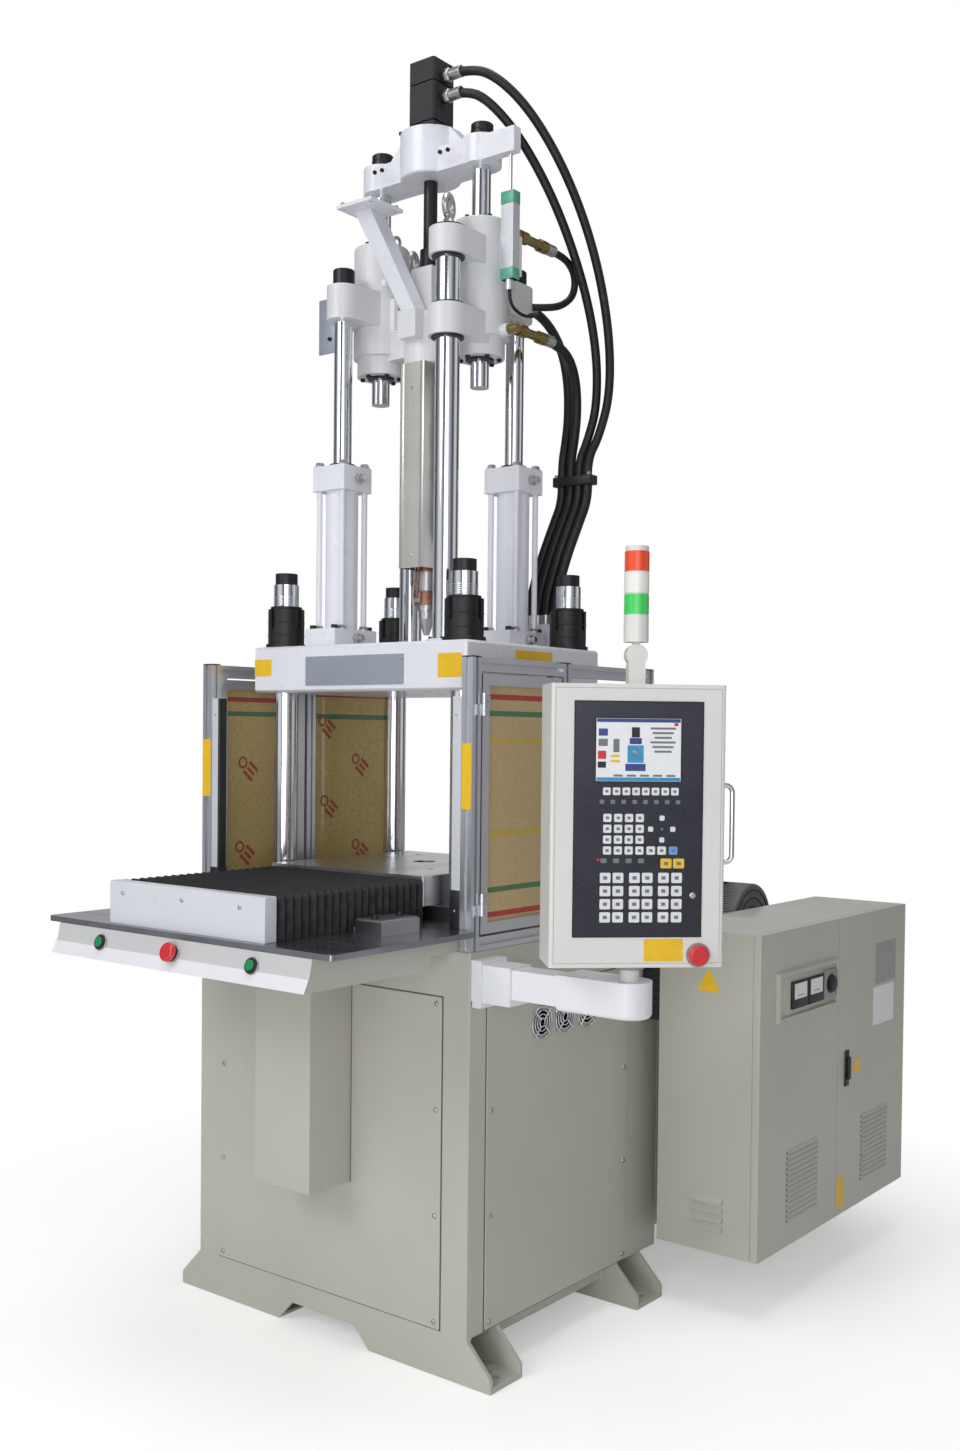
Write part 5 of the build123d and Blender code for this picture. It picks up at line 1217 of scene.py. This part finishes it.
def lay_hoses():
    for name, route in (("motor_hose_upper", motor_upper), ("motor_hose_lower", motor_lower)):
        bending_hose(name, route, motor_hose_radius, "motor_hoses", "injection_crosshead")
    shifts = series(0, hose_pitch, hose_count)
    for index, shift in enumerate(shifts):
        route = [(x + shift, y, z) for x, y, z in bundle_hose]
        bending_hose(f"bundle_hose_{index + 1}", route, bundle_radius, "hose_bundle", "injection_carriage")
    for hose in fixed_hoses:
        fixed_hose(*hose)

    clamp = Piece("hose_clamp", "injection_carriage", "hose")
    first, last = Vector(bundle_hose[0]), Vector(motor_upper[-1])
    clamp.box((first.x - clamp_margin, first.y - clamp_margin, first.z),
              (last.x + clamp_margin, last.y + clamp_margin, last.z), black_plastic, bevel=2.0)
    for x in (first.x - clamp_nut_inset, last.x + clamp_nut_inset):
        clamp.hex_nut((x, first.y - clamp_nut_inset, last.z), UP, clamp_nut, clamp_nut, zinc)
    for route in (port_hose, boss_hose, loop_hose):
        start, after = Vector(route[0]), Vector(route[1])
        clamp.sleeve(start, (after - start).normalized(), ferrule_inner, ferrule_outer, ferrule_length, zinc)
    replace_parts(clamp.done(), "hose_bundle")

    ends = Piece("platen_hose_nuts", "clamp", "chrome")
    for shift in shifts:
        ends.sleeve(Vector(bundle_hose[-1]) + shift * RIGHT, UP, bundle_radius + fit_gap,
                    platen_ferrule_outer, platen_ferrule_length, zinc)
    ends.done()
    fits = Piece("motor_hose_nuts", "injection_crosshead", "chrome")
    for route in (motor_upper, motor_lower):
        fits.sleeve(route[0], RIGHT, motor_hose_radius + fit_gap, ferrule_outer, ferrule_length, zinc)
    fits.done()


# Operator pendant: its own frame has the swivel axis at the origin and the face towards -Y

swivel = Vector(joints["pendant_swivel"]["pos_m"]) / MM
fold_axis = Vector(joints["tower_fold"]["axis"])
pendant_yaw = math.atan2(-fold_axis.x, fold_axis.y)
pendant_place = Matrix.Translation((swivel.x, swivel.y, 0)) @ Matrix.Rotation(pendant_yaw, 4, "Z")
pendant_half = 172.5
face_y, back_y = -65.0, 65.0
screen_x, screen_z = -1.0, 1369.0
screen_width, screen_height = 167.0, 122.0
screen_rim, screen_rim_rise, screen_rise, screen_corner = 6.0, 0.6, 0.3, 1.0
# Plain fields on the screen: place from its middle, width, height and look.
screen_fields = [(0, 57, 165, 7, screen_navy), (0, -57, 165, 7, screen_blue),
                 (-70, 34, 18, 14, screen_navy), (-70, 14, 18, 14, key_mark),
                 (-72, -10, 16, 16, red_plastic), (-72, -29, 16, 12, black_plastic),
                 (-46, -12, 18, 5, key_yellow), (-46, -22, 18, 5, key_yellow), (-44, 8, 12, 26, key_mark),
                 (-6, 34, 16, 20, black_plastic), (-6, 17, 24, 12, screen_navy),
                 (-6, -8, 32, 34, screen_blue), (-6, -34, 40, 14, screen_navy),
                 (-6, -6, 12, 10, screen_white), (74, 50, 8, 6, red_plastic)]
screen_fields += [(48, 42 - 9 * row, 50 - 8 * (row % 3), 4, key_mark) for row in range(6)]
screen_fields += [(-40 + 26 * column, -50, 18, 4, key_mark) for column in range(5)]
# Blocks of keys: the places across, the heights, each key's width and height, its look and its mark's look.
key_blocks = [(series(-62.7, 19.2, 8), [1288.5], 15.0, 15.0, key_film, key_mark),
              (series(-60.9, 21.3, 4), series(1236.8, -21.1, 4), 16.0, 16.0, key_film, key_mark),
              ([47.0], [1236.8, 1194.3], 10.0, 10.0, key_film, None),
              ([24.6, 68.5], [1215.2], 10.0, 10.0, key_film, None),
              ([47.0], [1215.2], 5.0, 5.0, key_mark, None),
              ([25.4, 47.0], [1173.5], 17.0, 16.0, key_film, key_mark),
              ([69.7], [1173.5], 17.0, 16.0, key_blue, key_mark),
              ([-78.5], [1155.5], 6.0, 6.0, red_plastic, None),
              ([56.0, 81.0], [1148.4], 22.0, 19.0, key_yellow, key_mark),
              ([-63.9, -38.5, -6.1, 19.3, 51.3, 77.4], series(1120.2, -25.6, 4), 21.0, 20.0, key_film,
               key_mark)]
# Rows of plain fields between the keys: the places across, height on the face, width and height of each.
label_rows = [(series(-72.0, 21.5, 8), 1268.0, 9.0, 8.0), (series(-67.5, 24.7, 4), 1153.4, 12.0, 9.0)]
key_rise, key_corner = 1.2, 2.5
mark_width_share, mark_height_share = 0.4, 0.34
mark_rise, mark_corner = 0.2, 1.5
field_corner = 0.8
label_rise = 0.3
key_switch_x, key_switch_z = 110.0, 1086.0
key_switch = [(6.0, 0), (6.0, 1.0), (4.0, 1.6), (4.0, 0.6), (0, 0.6)]
handle_lap = 0.5
seam_inset = 9.0
face_seam, face_seam_rise = 1.2, 0.15
keypad_half = 125.0
keypad_low_margin = 62.0
keypad_rim, keypad_rim_rise = 3.0, 1.0
pendant_field = (53.0, 979.0, 78.0, 44.0)         # x, z, width, height
stop_x, stop_z = 122.0, 969.0
stop_ring_inner, stop_ring_outer, stop_ring_height = 20.8, 24.0, 1.6
handle_y = -30.0
handle_rises = (203.0, 355.0)
handle_inner, handle_outer, handle_foot = 5.1, 9.0, 5.0
back_screw = 4.0
back_screw_x = 150.0
back_screw_low, back_screw_high, back_screw_count = 20.0, 17.0, 3
neck_inner, neck_outer, neck_height = 20.2, 30.0, 12.0


def on_face(piece, x, z, width, height, look, thick, radius=2.0, lift=0.0):
    """A plate on the pendant's face, or lifted off it."""
    piece.card((x, face_y - lift, z), RIGHT, UP, width, height, look, thick=thick, radius=radius)


def dress_keypad():
    piece = Piece("keypad_keys", "pendant", "keypad", place=pendant_place)
    on_face(piece, screen_x, screen_z, screen_width + screen_rim, screen_height + screen_rim, black_plastic,
            screen_rim_rise)
    on_face(piece, screen_x, screen_z, screen_width, screen_height, screen_white, screen_rise, screen_corner,
            screen_rim_rise)
    for across, rise, width, height, look in screen_fields:
        on_face(piece, screen_x + across, screen_z + rise, width, height, look, mark_rise, field_corner,
                screen_rim_rise + screen_rise)
    for columns, rows, width, height, look, mark in key_blocks:
        for x, z in [(x, z) for z in rows for x in columns]:
            on_face(piece, x, z, width, height, look, key_rise, key_corner)
            if mark:
                on_face(piece, x, z, mark_width_share * width, mark_height_share * height, mark, mark_rise,
                        mark_corner, key_rise)
    for columns, z, width, height in label_rows:
        for x in columns:
            on_face(piece, x, z, width, height, key_mark, label_rise)
    piece.lathe((key_switch_x, face_y, key_switch_z), FRONT, key_switch, zinc)
    piece.done()


def dress_pendant():
    inward = pendant_place.inverted()
    tint("pendant_box", chrome, lambda spot, normal: (inward @ spot).x > pendant_half + handle_lap)
    pad_low, pad_high = corners("keypad_panel")
    box_low, box_high = pad_low.z - keypad_low_margin, corners("pendant_box")[1].z
    trim = Piece("pendant_trim", "pendant", "cover_paint", place=pendant_place)
    # A thin darker line around the face: painted shade in the seam of the box's front.
    trim.frame((0, face_y, (box_low + box_high) / 2), RIGHT, UP, 2 * (pendant_half - seam_inset),
               box_high - box_low - 2 * seam_inset, face_seam, face_seam_rise, pendant_seam_shade)
    trim.frame((0, face_y, (pad_low.z + pad_high.z) / 2), RIGHT, UP, 2 * keypad_half, pad_high.z - pad_low.z,
               keypad_rim, keypad_rim_rise, black_plastic)
    on_face(trim, *pendant_field, yellow_film, film)
    trim.sleeve((stop_x, face_y, stop_z), FRONT, stop_ring_inner, stop_ring_outer, stop_ring_height,
                grey_plastic)
    for rise in handle_rises:
        trim.sleeve((pendant_half, handle_y, box_low + rise), RIGHT, handle_inner, handle_outer, handle_foot,
                    zinc)
    for x in (-back_screw_x, back_screw_x):
        for z in spread(box_low + back_screw_low, box_high - back_screw_high, back_screw_count):
            trim.pan_screw((x, back_y, z), REAR, back_screw, zinc)
    trim.sleeve((0, 0, box_low - neck_height), UP, neck_inner, neck_outer, neck_height, grey_plastic)
    trim.done()


# Cabinet, tank and pump: places are y and z on a door, from its face outwards

door_side = corners("cabinet_door_rear")[1].x
door_sheet = 3.0
door_film = 0.4
grille_low = 208.0
grille_pitch = 13.0
grille_slot = 6.0
grille_count = 14
grille_half = 86.0
grille_offset = 18.0
grille_gap = 0.2
hood = 4.0
louvre_x, louvre_width = 584.0, 83.0
louvre_heights = series(206.0, 22.0, 4)
louvre_out, louvre_rise = 9.0, 14.0
sign_rise = 0.6
front_sign_x, front_sign_z, front_sign_radius = 622.0, 800.0, 37.0
rear_sign_y, rear_sign_z, rear_sign_radius = 892.0, 524.0, 30.0
window_low, window_high = (423.5, 718.0), (743.5, 818.0)
window_sink, window_rise = 6.0, 2.0
meter_places = (529.0, 619.0)
meter_half, meter_low, meter_high, meter_face = 43.0, 732.0, 800.0, 9.0
dial_width, dial_height, dial_z = 68.0, 38.0, 775.0
needle_width, needle_height, needle_z = 36.0, 2.0, 764.0
needle_rise, needle_corner = 0.2, 0.5
knob_plate_low, knob_plate_high, knob_plate_face = (668.0, 732.0), (738.0, 806.0), 8.0
knob_y, knob_z = 703.0, 769.0
knob_outline = [(24.0, 0), (24.0, 3.0), (20.0, 4.0), (20.0, 9.0), (18.0, 10.0)]
latch_low, latch_high, latch_face = (812.0, 482.0), (836.0, 576.0), 4.0
grip_low, grip_high, grip_face = (817.0, 500.0), (831.0, 560.0), 12.0
rear_fields = ((1074.0, 782.0, 140.0, 112.0, dial_plate), (1064.0, 666.0, 140.0, 104.0, white_film),
               (797.0, 208.0, 40.0, 80.0, yellow_film))     # y, z, width, height and look
rib_count, rib_inset, rib_half, rib_out, rib_lap = 10, 8.0, 4.0, 3.0, 1.0


def triangle(centre, across, radius):
    """The corners of an upright triangle with its point up."""
    return [Vector(centre) + radius * (math.sin(turn) * across + math.cos(turn) * UP) for turn in turns(3)]


def on_wall(piece, low, high, back, face, look, bevel):
    """A box on an upright wall, between two corners (y, z) and two places across."""
    piece.box((back, *low), (face, *high), look, bevel=bevel)


def dress_grille(piece, node, side):
    """Pressed hoods over the slots of a door and a filter mat behind them."""
    low, high = corners(node)
    middle = (low.y + high.y) / 2 + grille_offset
    for z in series(grille_low + grille_slot, grille_pitch, grille_count):
        outline = [(side, middle - grille_half, z + hood), (side + hood, middle - grille_half, z - hood / 2),
                   (side + hood, middle - grille_half, z - hood), (side, middle - grille_half, z)]
        piece.prism(outline, 2 * grille_half * REAR, base_paint)
    back, grille_high = side - door_sheet, grille_low + grille_count * grille_pitch
    piece.box((back - hood, middle - grille_half - hood, grille_low - hood),
              (back - grille_gap, middle + grille_half + hood, grille_high), filter_mat)


def dress_cabinet():
    front_y = corners("cabinet")[0].y
    piece = Piece("cabinet_trim", "base", "base_paint")
    for z in louvre_heights:
        outline = [(louvre_x, front_y, z), (louvre_x, front_y - louvre_out, z),
                   (louvre_x, front_y, z + louvre_rise)]
        piece.prism(outline, louvre_width * RIGHT, base_paint)
    piece.prism(triangle((front_sign_x, front_y, front_sign_z), RIGHT, front_sign_radius), sign_rise * FRONT,
                yellow_film)
    piece.done()

    front = Piece("front_door_trim", "front_cabinet_door", "base_paint")
    plate = door_side + window_rise
    on_wall(front, window_low, window_high, door_side - window_sink, plate, base_paint, bevel=0.5)
    for y in meter_places:
        face = door_side + meter_face
        on_wall(front, (y - meter_half, meter_low), (y + meter_half, meter_high), plate, face, black_plastic,
                bevel=2.0)
        front.card((face, y, dial_z), REAR, UP, dial_width, dial_height, white_film, thick=door_film)
        front.card((face + door_film, y, needle_z), REAR, UP, needle_width, needle_height, red_plastic,
                   thick=needle_rise, radius=needle_corner)
    on_wall(front, knob_plate_low, knob_plate_high, plate, door_side + knob_plate_face, grey_plastic,
            bevel=2.0)
    front.lathe((door_side + knob_plate_face, knob_y, knob_z), RIGHT, knob_outline, black_plastic)
    dress_grille(front, "cabinet_door_front", door_side)
    front.done()

    rear = Piece("rear_door_trim", "rear_cabinet_door", "base_paint")
    on_wall(rear, latch_low, latch_high, door_side, door_side + latch_face, black_plastic, bevel=1.5)
    on_wall(rear, grip_low, grip_high, door_side + latch_face, door_side + grip_face, black_plastic,
            bevel=3.0)
    rear.prism(triangle((door_side, rear_sign_y, rear_sign_z), REAR, rear_sign_radius), sign_rise * RIGHT,
               yellow_film)
    for y, z, width, height, look in rear_fields:
        rear.card((door_side, y, z), REAR, UP, width, height, look, thick=door_film)
    dress_grille(rear, "cabinet_door_rear", door_side)
    rear.done()

    low, high = corners("cable_duct")
    duct = Piece("duct_ribs", "base", "duct")
    for z in spread(low.z + rib_inset, high.z - rib_inset, rib_count):
        duct.box((low.x + rib_lap, low.y - rib_out, z - rib_half),
                 (high.x - rib_lap, high.y + rib_out, z + rib_half), black_plastic, bevel=2.0)
    duct.done()


tank_lid = corners("pump_motor")[0].z
lid_nut, lid_nut_height, lid_nut_count = 7.0, 6.0, 6
lid_nut_inset, lid_nut_front, lid_nut_rear = 30.0, 20.0, 25.0
filler_x, filler_y = -329.0, 1071.0
filler_cap = [(40.0, -22.0), (40.0, -4.0), (36.0, 0), (12.0, 0)]
sight_low, sight_high, sight_out = (900.0, 420.0), (936.0, 620.0), 6.0
glass_low, glass_high, glass_out, glass_sink = (909.0, 440.0), (927.0, 600.0), 8.0, 5.9
end_bell = 48.0
pump_axis = Vector((195.0, 981.0, 860.0))         # on the motor's axis, under its terminal box
pump_box = Vector((55.0, 50.0, 0))
pump_box_low, pump_box_high = 100.0, 160.0
pump_lid_lap = Vector((3.0, 3.0, 0))
pump_lid_low, pump_lid_high = 150.0, 158.0
pump_rings = (25.0, 50.0, 75.0, 98.0)
pump_wire = 2.0


def dress_tank():
    low, high = corners("oil_tank")
    piece = Piece("tank_trim", "base", "base_paint")
    for x in spread(low.x + lid_nut_inset, high.x - lid_nut_inset, lid_nut_count):
        for y in (low.y + lid_nut_front, high.y - lid_nut_rear):
            piece.hex_nut((x, y, tank_lid), UP, lid_nut, lid_nut_height, zinc, stud=False)
    piece.lathe((filler_x, filler_y, high.z), UP, filler_cap, chrome)
    on_wall(piece, sight_low, sight_high, low.x - sight_out, low.x, zinc, bevel=2.0)
    on_wall(piece, glass_low, glass_high, low.x - glass_out, low.x - glass_sink, smoked_glass, bevel=0.6)
    pump_end = corners("pump_motor")[1].x
    tint("pump_motor", grey_motor, lambda spot, normal: spot.x > pump_end - end_bell)
    lid = pump_box + pump_lid_lap
    for half, start, stop, bevel in ((pump_box, pump_box_low, pump_box_high, 4.0),
                                     (lid, pump_lid_low, pump_lid_high, 2.0)):
        piece.box(pump_axis - half + start * UP, pump_axis + half + stop * UP, dark_motor, bevel=bevel)
    for radius in pump_rings:
        piece.ring((pump_end, pump_axis.y, pump_axis.z), RIGHT, radius, pump_wire, black_steel)
    piece.done()


# Studio: the fitted camera, a pale floor and soft light, in metres

focal_px = 1439.07
image_width_px, image_height_px = 960.0, 1451.0
centre_row_px = 766.6
camera_place = (2.3209, -2.7337, 1.3978)
camera_yaw = math.radians(38.15)
camera_pitch = math.radians(1.32)
camera_roll = math.radians(0.6)
sensor_width = 36.0
clip_far = 100.0
WHITE = (1, 1, 1, 1)
BRIGHT, GREY, DARK = (1.0, 1.0, 1.0, 1), (0.4, 0.41, 0.44, 1), (0.05, 0.05, 0.06, 1)
room_light = 0.28
room_bands = [(0.0, (0.6, 0.6, 0.6, 1)), (0.45, (0.42, 0.42, 0.43, 1)), (0.62, (0.85, 0.86, 0.88, 1)),
              (1.0, WHITE)]
mirror_light = 0.75
mirror_bands = [(0.0, GREY), (0.06, DARK), (0.12, GREY), (0.17, BRIGHT), (0.24, BRIGHT), (0.27, GREY),
                (0.31, DARK), (0.36, GREY), (0.4, BRIGHT), (0.47, GREY), (0.52, DARK), (0.6, BRIGHT),
                (0.7, DARK), (0.78, GREY), (0.86, BRIGHT), (0.95, GREY), (1.0, GREY)]
floor_half = 30.0
floor_tones = [(0.3, (0.93, 0.93, 0.93, 1)), (0.7, (0.96, 0.96, 0.96, 1))]
floor_patch, floor_detail = 3.0, 4.0
floor_roughness = 0.9
floor_glow = 0.36
shadow_centre = (0.1, 0.3, 0)
shadow_near, shadow_far = 0.9, 1.9
# Lights: name, place, target, width and power.
lights = (("key", (-1.2, -6.2, 5.0), (0, 0, 1.4), 4.0, 150),
          ("fill", (4.2, -5.2, 2.4), (0.3, 0.2, 1.0), 4.0, 72),
          ("low", (2.2, -6.4, 0.9), (0.5, 0.2, 0.6), 1.8, 54),
          ("top", (0.5, -0.5, 7.0), (0, 0.2, 0), 4.0, 105))


def set_camera():
    data = bpy.data.cameras.new("camera")
    data.sensor_fit = "HORIZONTAL"
    data.sensor_width = sensor_width
    data.lens = focal_px * sensor_width / image_width_px
    data.shift_y = (centre_row_px - image_height_px / 2) / image_width_px
    data.clip_end = clip_far
    ahead = Vector((-math.sin(camera_yaw), math.cos(camera_yaw), 0))
    level = Vector((math.cos(camera_yaw), math.sin(camera_yaw), 0))
    look = math.cos(camera_pitch) * ahead - math.sin(camera_pitch) * UP
    over = math.sin(camera_pitch) * ahead + math.cos(camera_pitch) * UP
    right = math.cos(camera_roll) * level + math.sin(camera_roll) * over
    up = -math.sin(camera_roll) * level + math.cos(camera_roll) * over
    turn = Matrix((right, up, -look)).transposed().to_4x4()
    camera = bpy.data.objects.new("camera", data)
    camera.matrix_world = Matrix.Translation(camera_place) @ turn
    bpy.context.scene.collection.objects.link(camera)
    bpy.context.scene.camera = camera


def area_light(name, place, target, size, power):
    data = bpy.data.lights.new(name, "AREA")
    data.shape = "DISK"
    data.size = size
    data.energy = power
    light = bpy.data.objects.new(name, data)
    light.location = place
    light.rotation_euler = (Vector(target) - Vector(place)).to_track_quat("-Z", "Y").to_euler()
    bpy.context.scene.collection.objects.link(light)


def set_world():
    """White to the camera, a soft room for light, and a room with upright dark screens in reflections."""
    world = bpy.data.worlds.new("studio")
    world.use_nodes = True
    bpy.context.scene.world = world
    graph = Graph(world.node_tree)

    def backdrop(strength, colour=None):
        node = graph.add("ShaderNodeBackground")
        node.inputs["Strength"].default_value = strength
        node.inputs["Color"].default_value = WHITE
        if colour:
            graph.feed(colour, node.inputs["Color"])
        return node.outputs["Background"]

    split = graph.add("ShaderNodeSeparateXYZ")
    graph.feed(graph.add("ShaderNodeTexCoord").outputs["Generated"], split.inputs["Vector"])
    rise = graph.remap(split.outputs["Z"], 0.0, 1.0, -1.0, 1.0)
    around = graph.add("ShaderNodeMath", operation="ARCTAN2")
    graph.feed(split.outputs["Y"], around.inputs[0])
    graph.feed(split.outputs["X"], around.inputs[1])
    turn = graph.remap(around.outputs["Value"], 0.0, 1.0, -math.pi, math.pi)
    path = graph.add("ShaderNodeLightPath")
    lit = graph.choose(path.outputs["Is Glossy Ray"], backdrop(room_light, graph.ramp(rise, room_bands)),
                       backdrop(mirror_light, graph.ramp(turn, mirror_bands)))
    seen = graph.choose(path.outputs["Is Camera Ray"], lit, backdrop(1.0))
    graph.feed(seen, graph.tree.nodes["World Output"].inputs["Surface"])


def set_floor():
    """A pale floor that keeps the shadow near the machine and fades to white around it."""
    mesh = bpy.data.meshes.new("floor")
    edge = floor_half
    mesh.from_pydata([(-edge, -edge, 0), (edge, -edge, 0), (edge, edge, 0), (-edge, edge, 0)], [],
                     [(0, 1, 2, 3)])
    floor = bpy.data.objects.new("floor", mesh)
    bpy.context.scene.collection.objects.link(floor)
    look = Look("floor_paint")
    surface = look.surface.inputs
    look.feed(look.ramp(look.noise(floor_patch, detail=floor_detail), floor_tones), surface["Base Color"])
    surface["Roughness"].default_value = floor_roughness
    surface["Specular IOR Level"].default_value = 0.0
    path = look.add("ShaderNodeLightPath")
    glow = look.add("ShaderNodeMath", operation="MULTIPLY")
    glow.inputs[1].default_value = floor_glow
    look.feed(path.outputs["Is Camera Ray"], glow.inputs[0])
    surface["Emission Color"].default_value = WHITE
    look.feed(glow.outputs["Value"], surface["Emission Strength"])
    away = look.add("ShaderNodeVectorMath", operation="DISTANCE")
    away.inputs[1].default_value = shadow_centre
    look.feed(look.place, away.inputs[0])
    seen = look.add("ShaderNodeMath", operation="MULTIPLY")
    look.feed(look.remap(away.outputs["Value"], 0.0, 1.0, shadow_near, shadow_far), seen.inputs[0])
    look.feed(path.outputs["Is Camera Ray"], seen.inputs[1])
    white = look.add("ShaderNodeEmission")
    white.inputs["Strength"].default_value = 1.0
    mix = look.choose(seen.outputs["Value"], look.surface.outputs["BSDF"], white.outputs["Emission"])
    look.feed(mix, look.tree.nodes["Material Output"].inputs["Surface"])
    mesh.materials.append(look.material)


dress_base()
dress_console()
dress_bellows()
dress_guards()
print_panes()
dress_clamp()
dress_carriage()
dress_chute()
dress_barrel()
dress_crosshead()
lay_hoses()
dress_keypad()
dress_pendant()
dress_cabinet()
dress_tank()
set_camera()
set_world()
set_floor()
for light in lights:
    area_light(*light)

view = bpy.context.scene.view_settings
view.view_transform = "Standard"
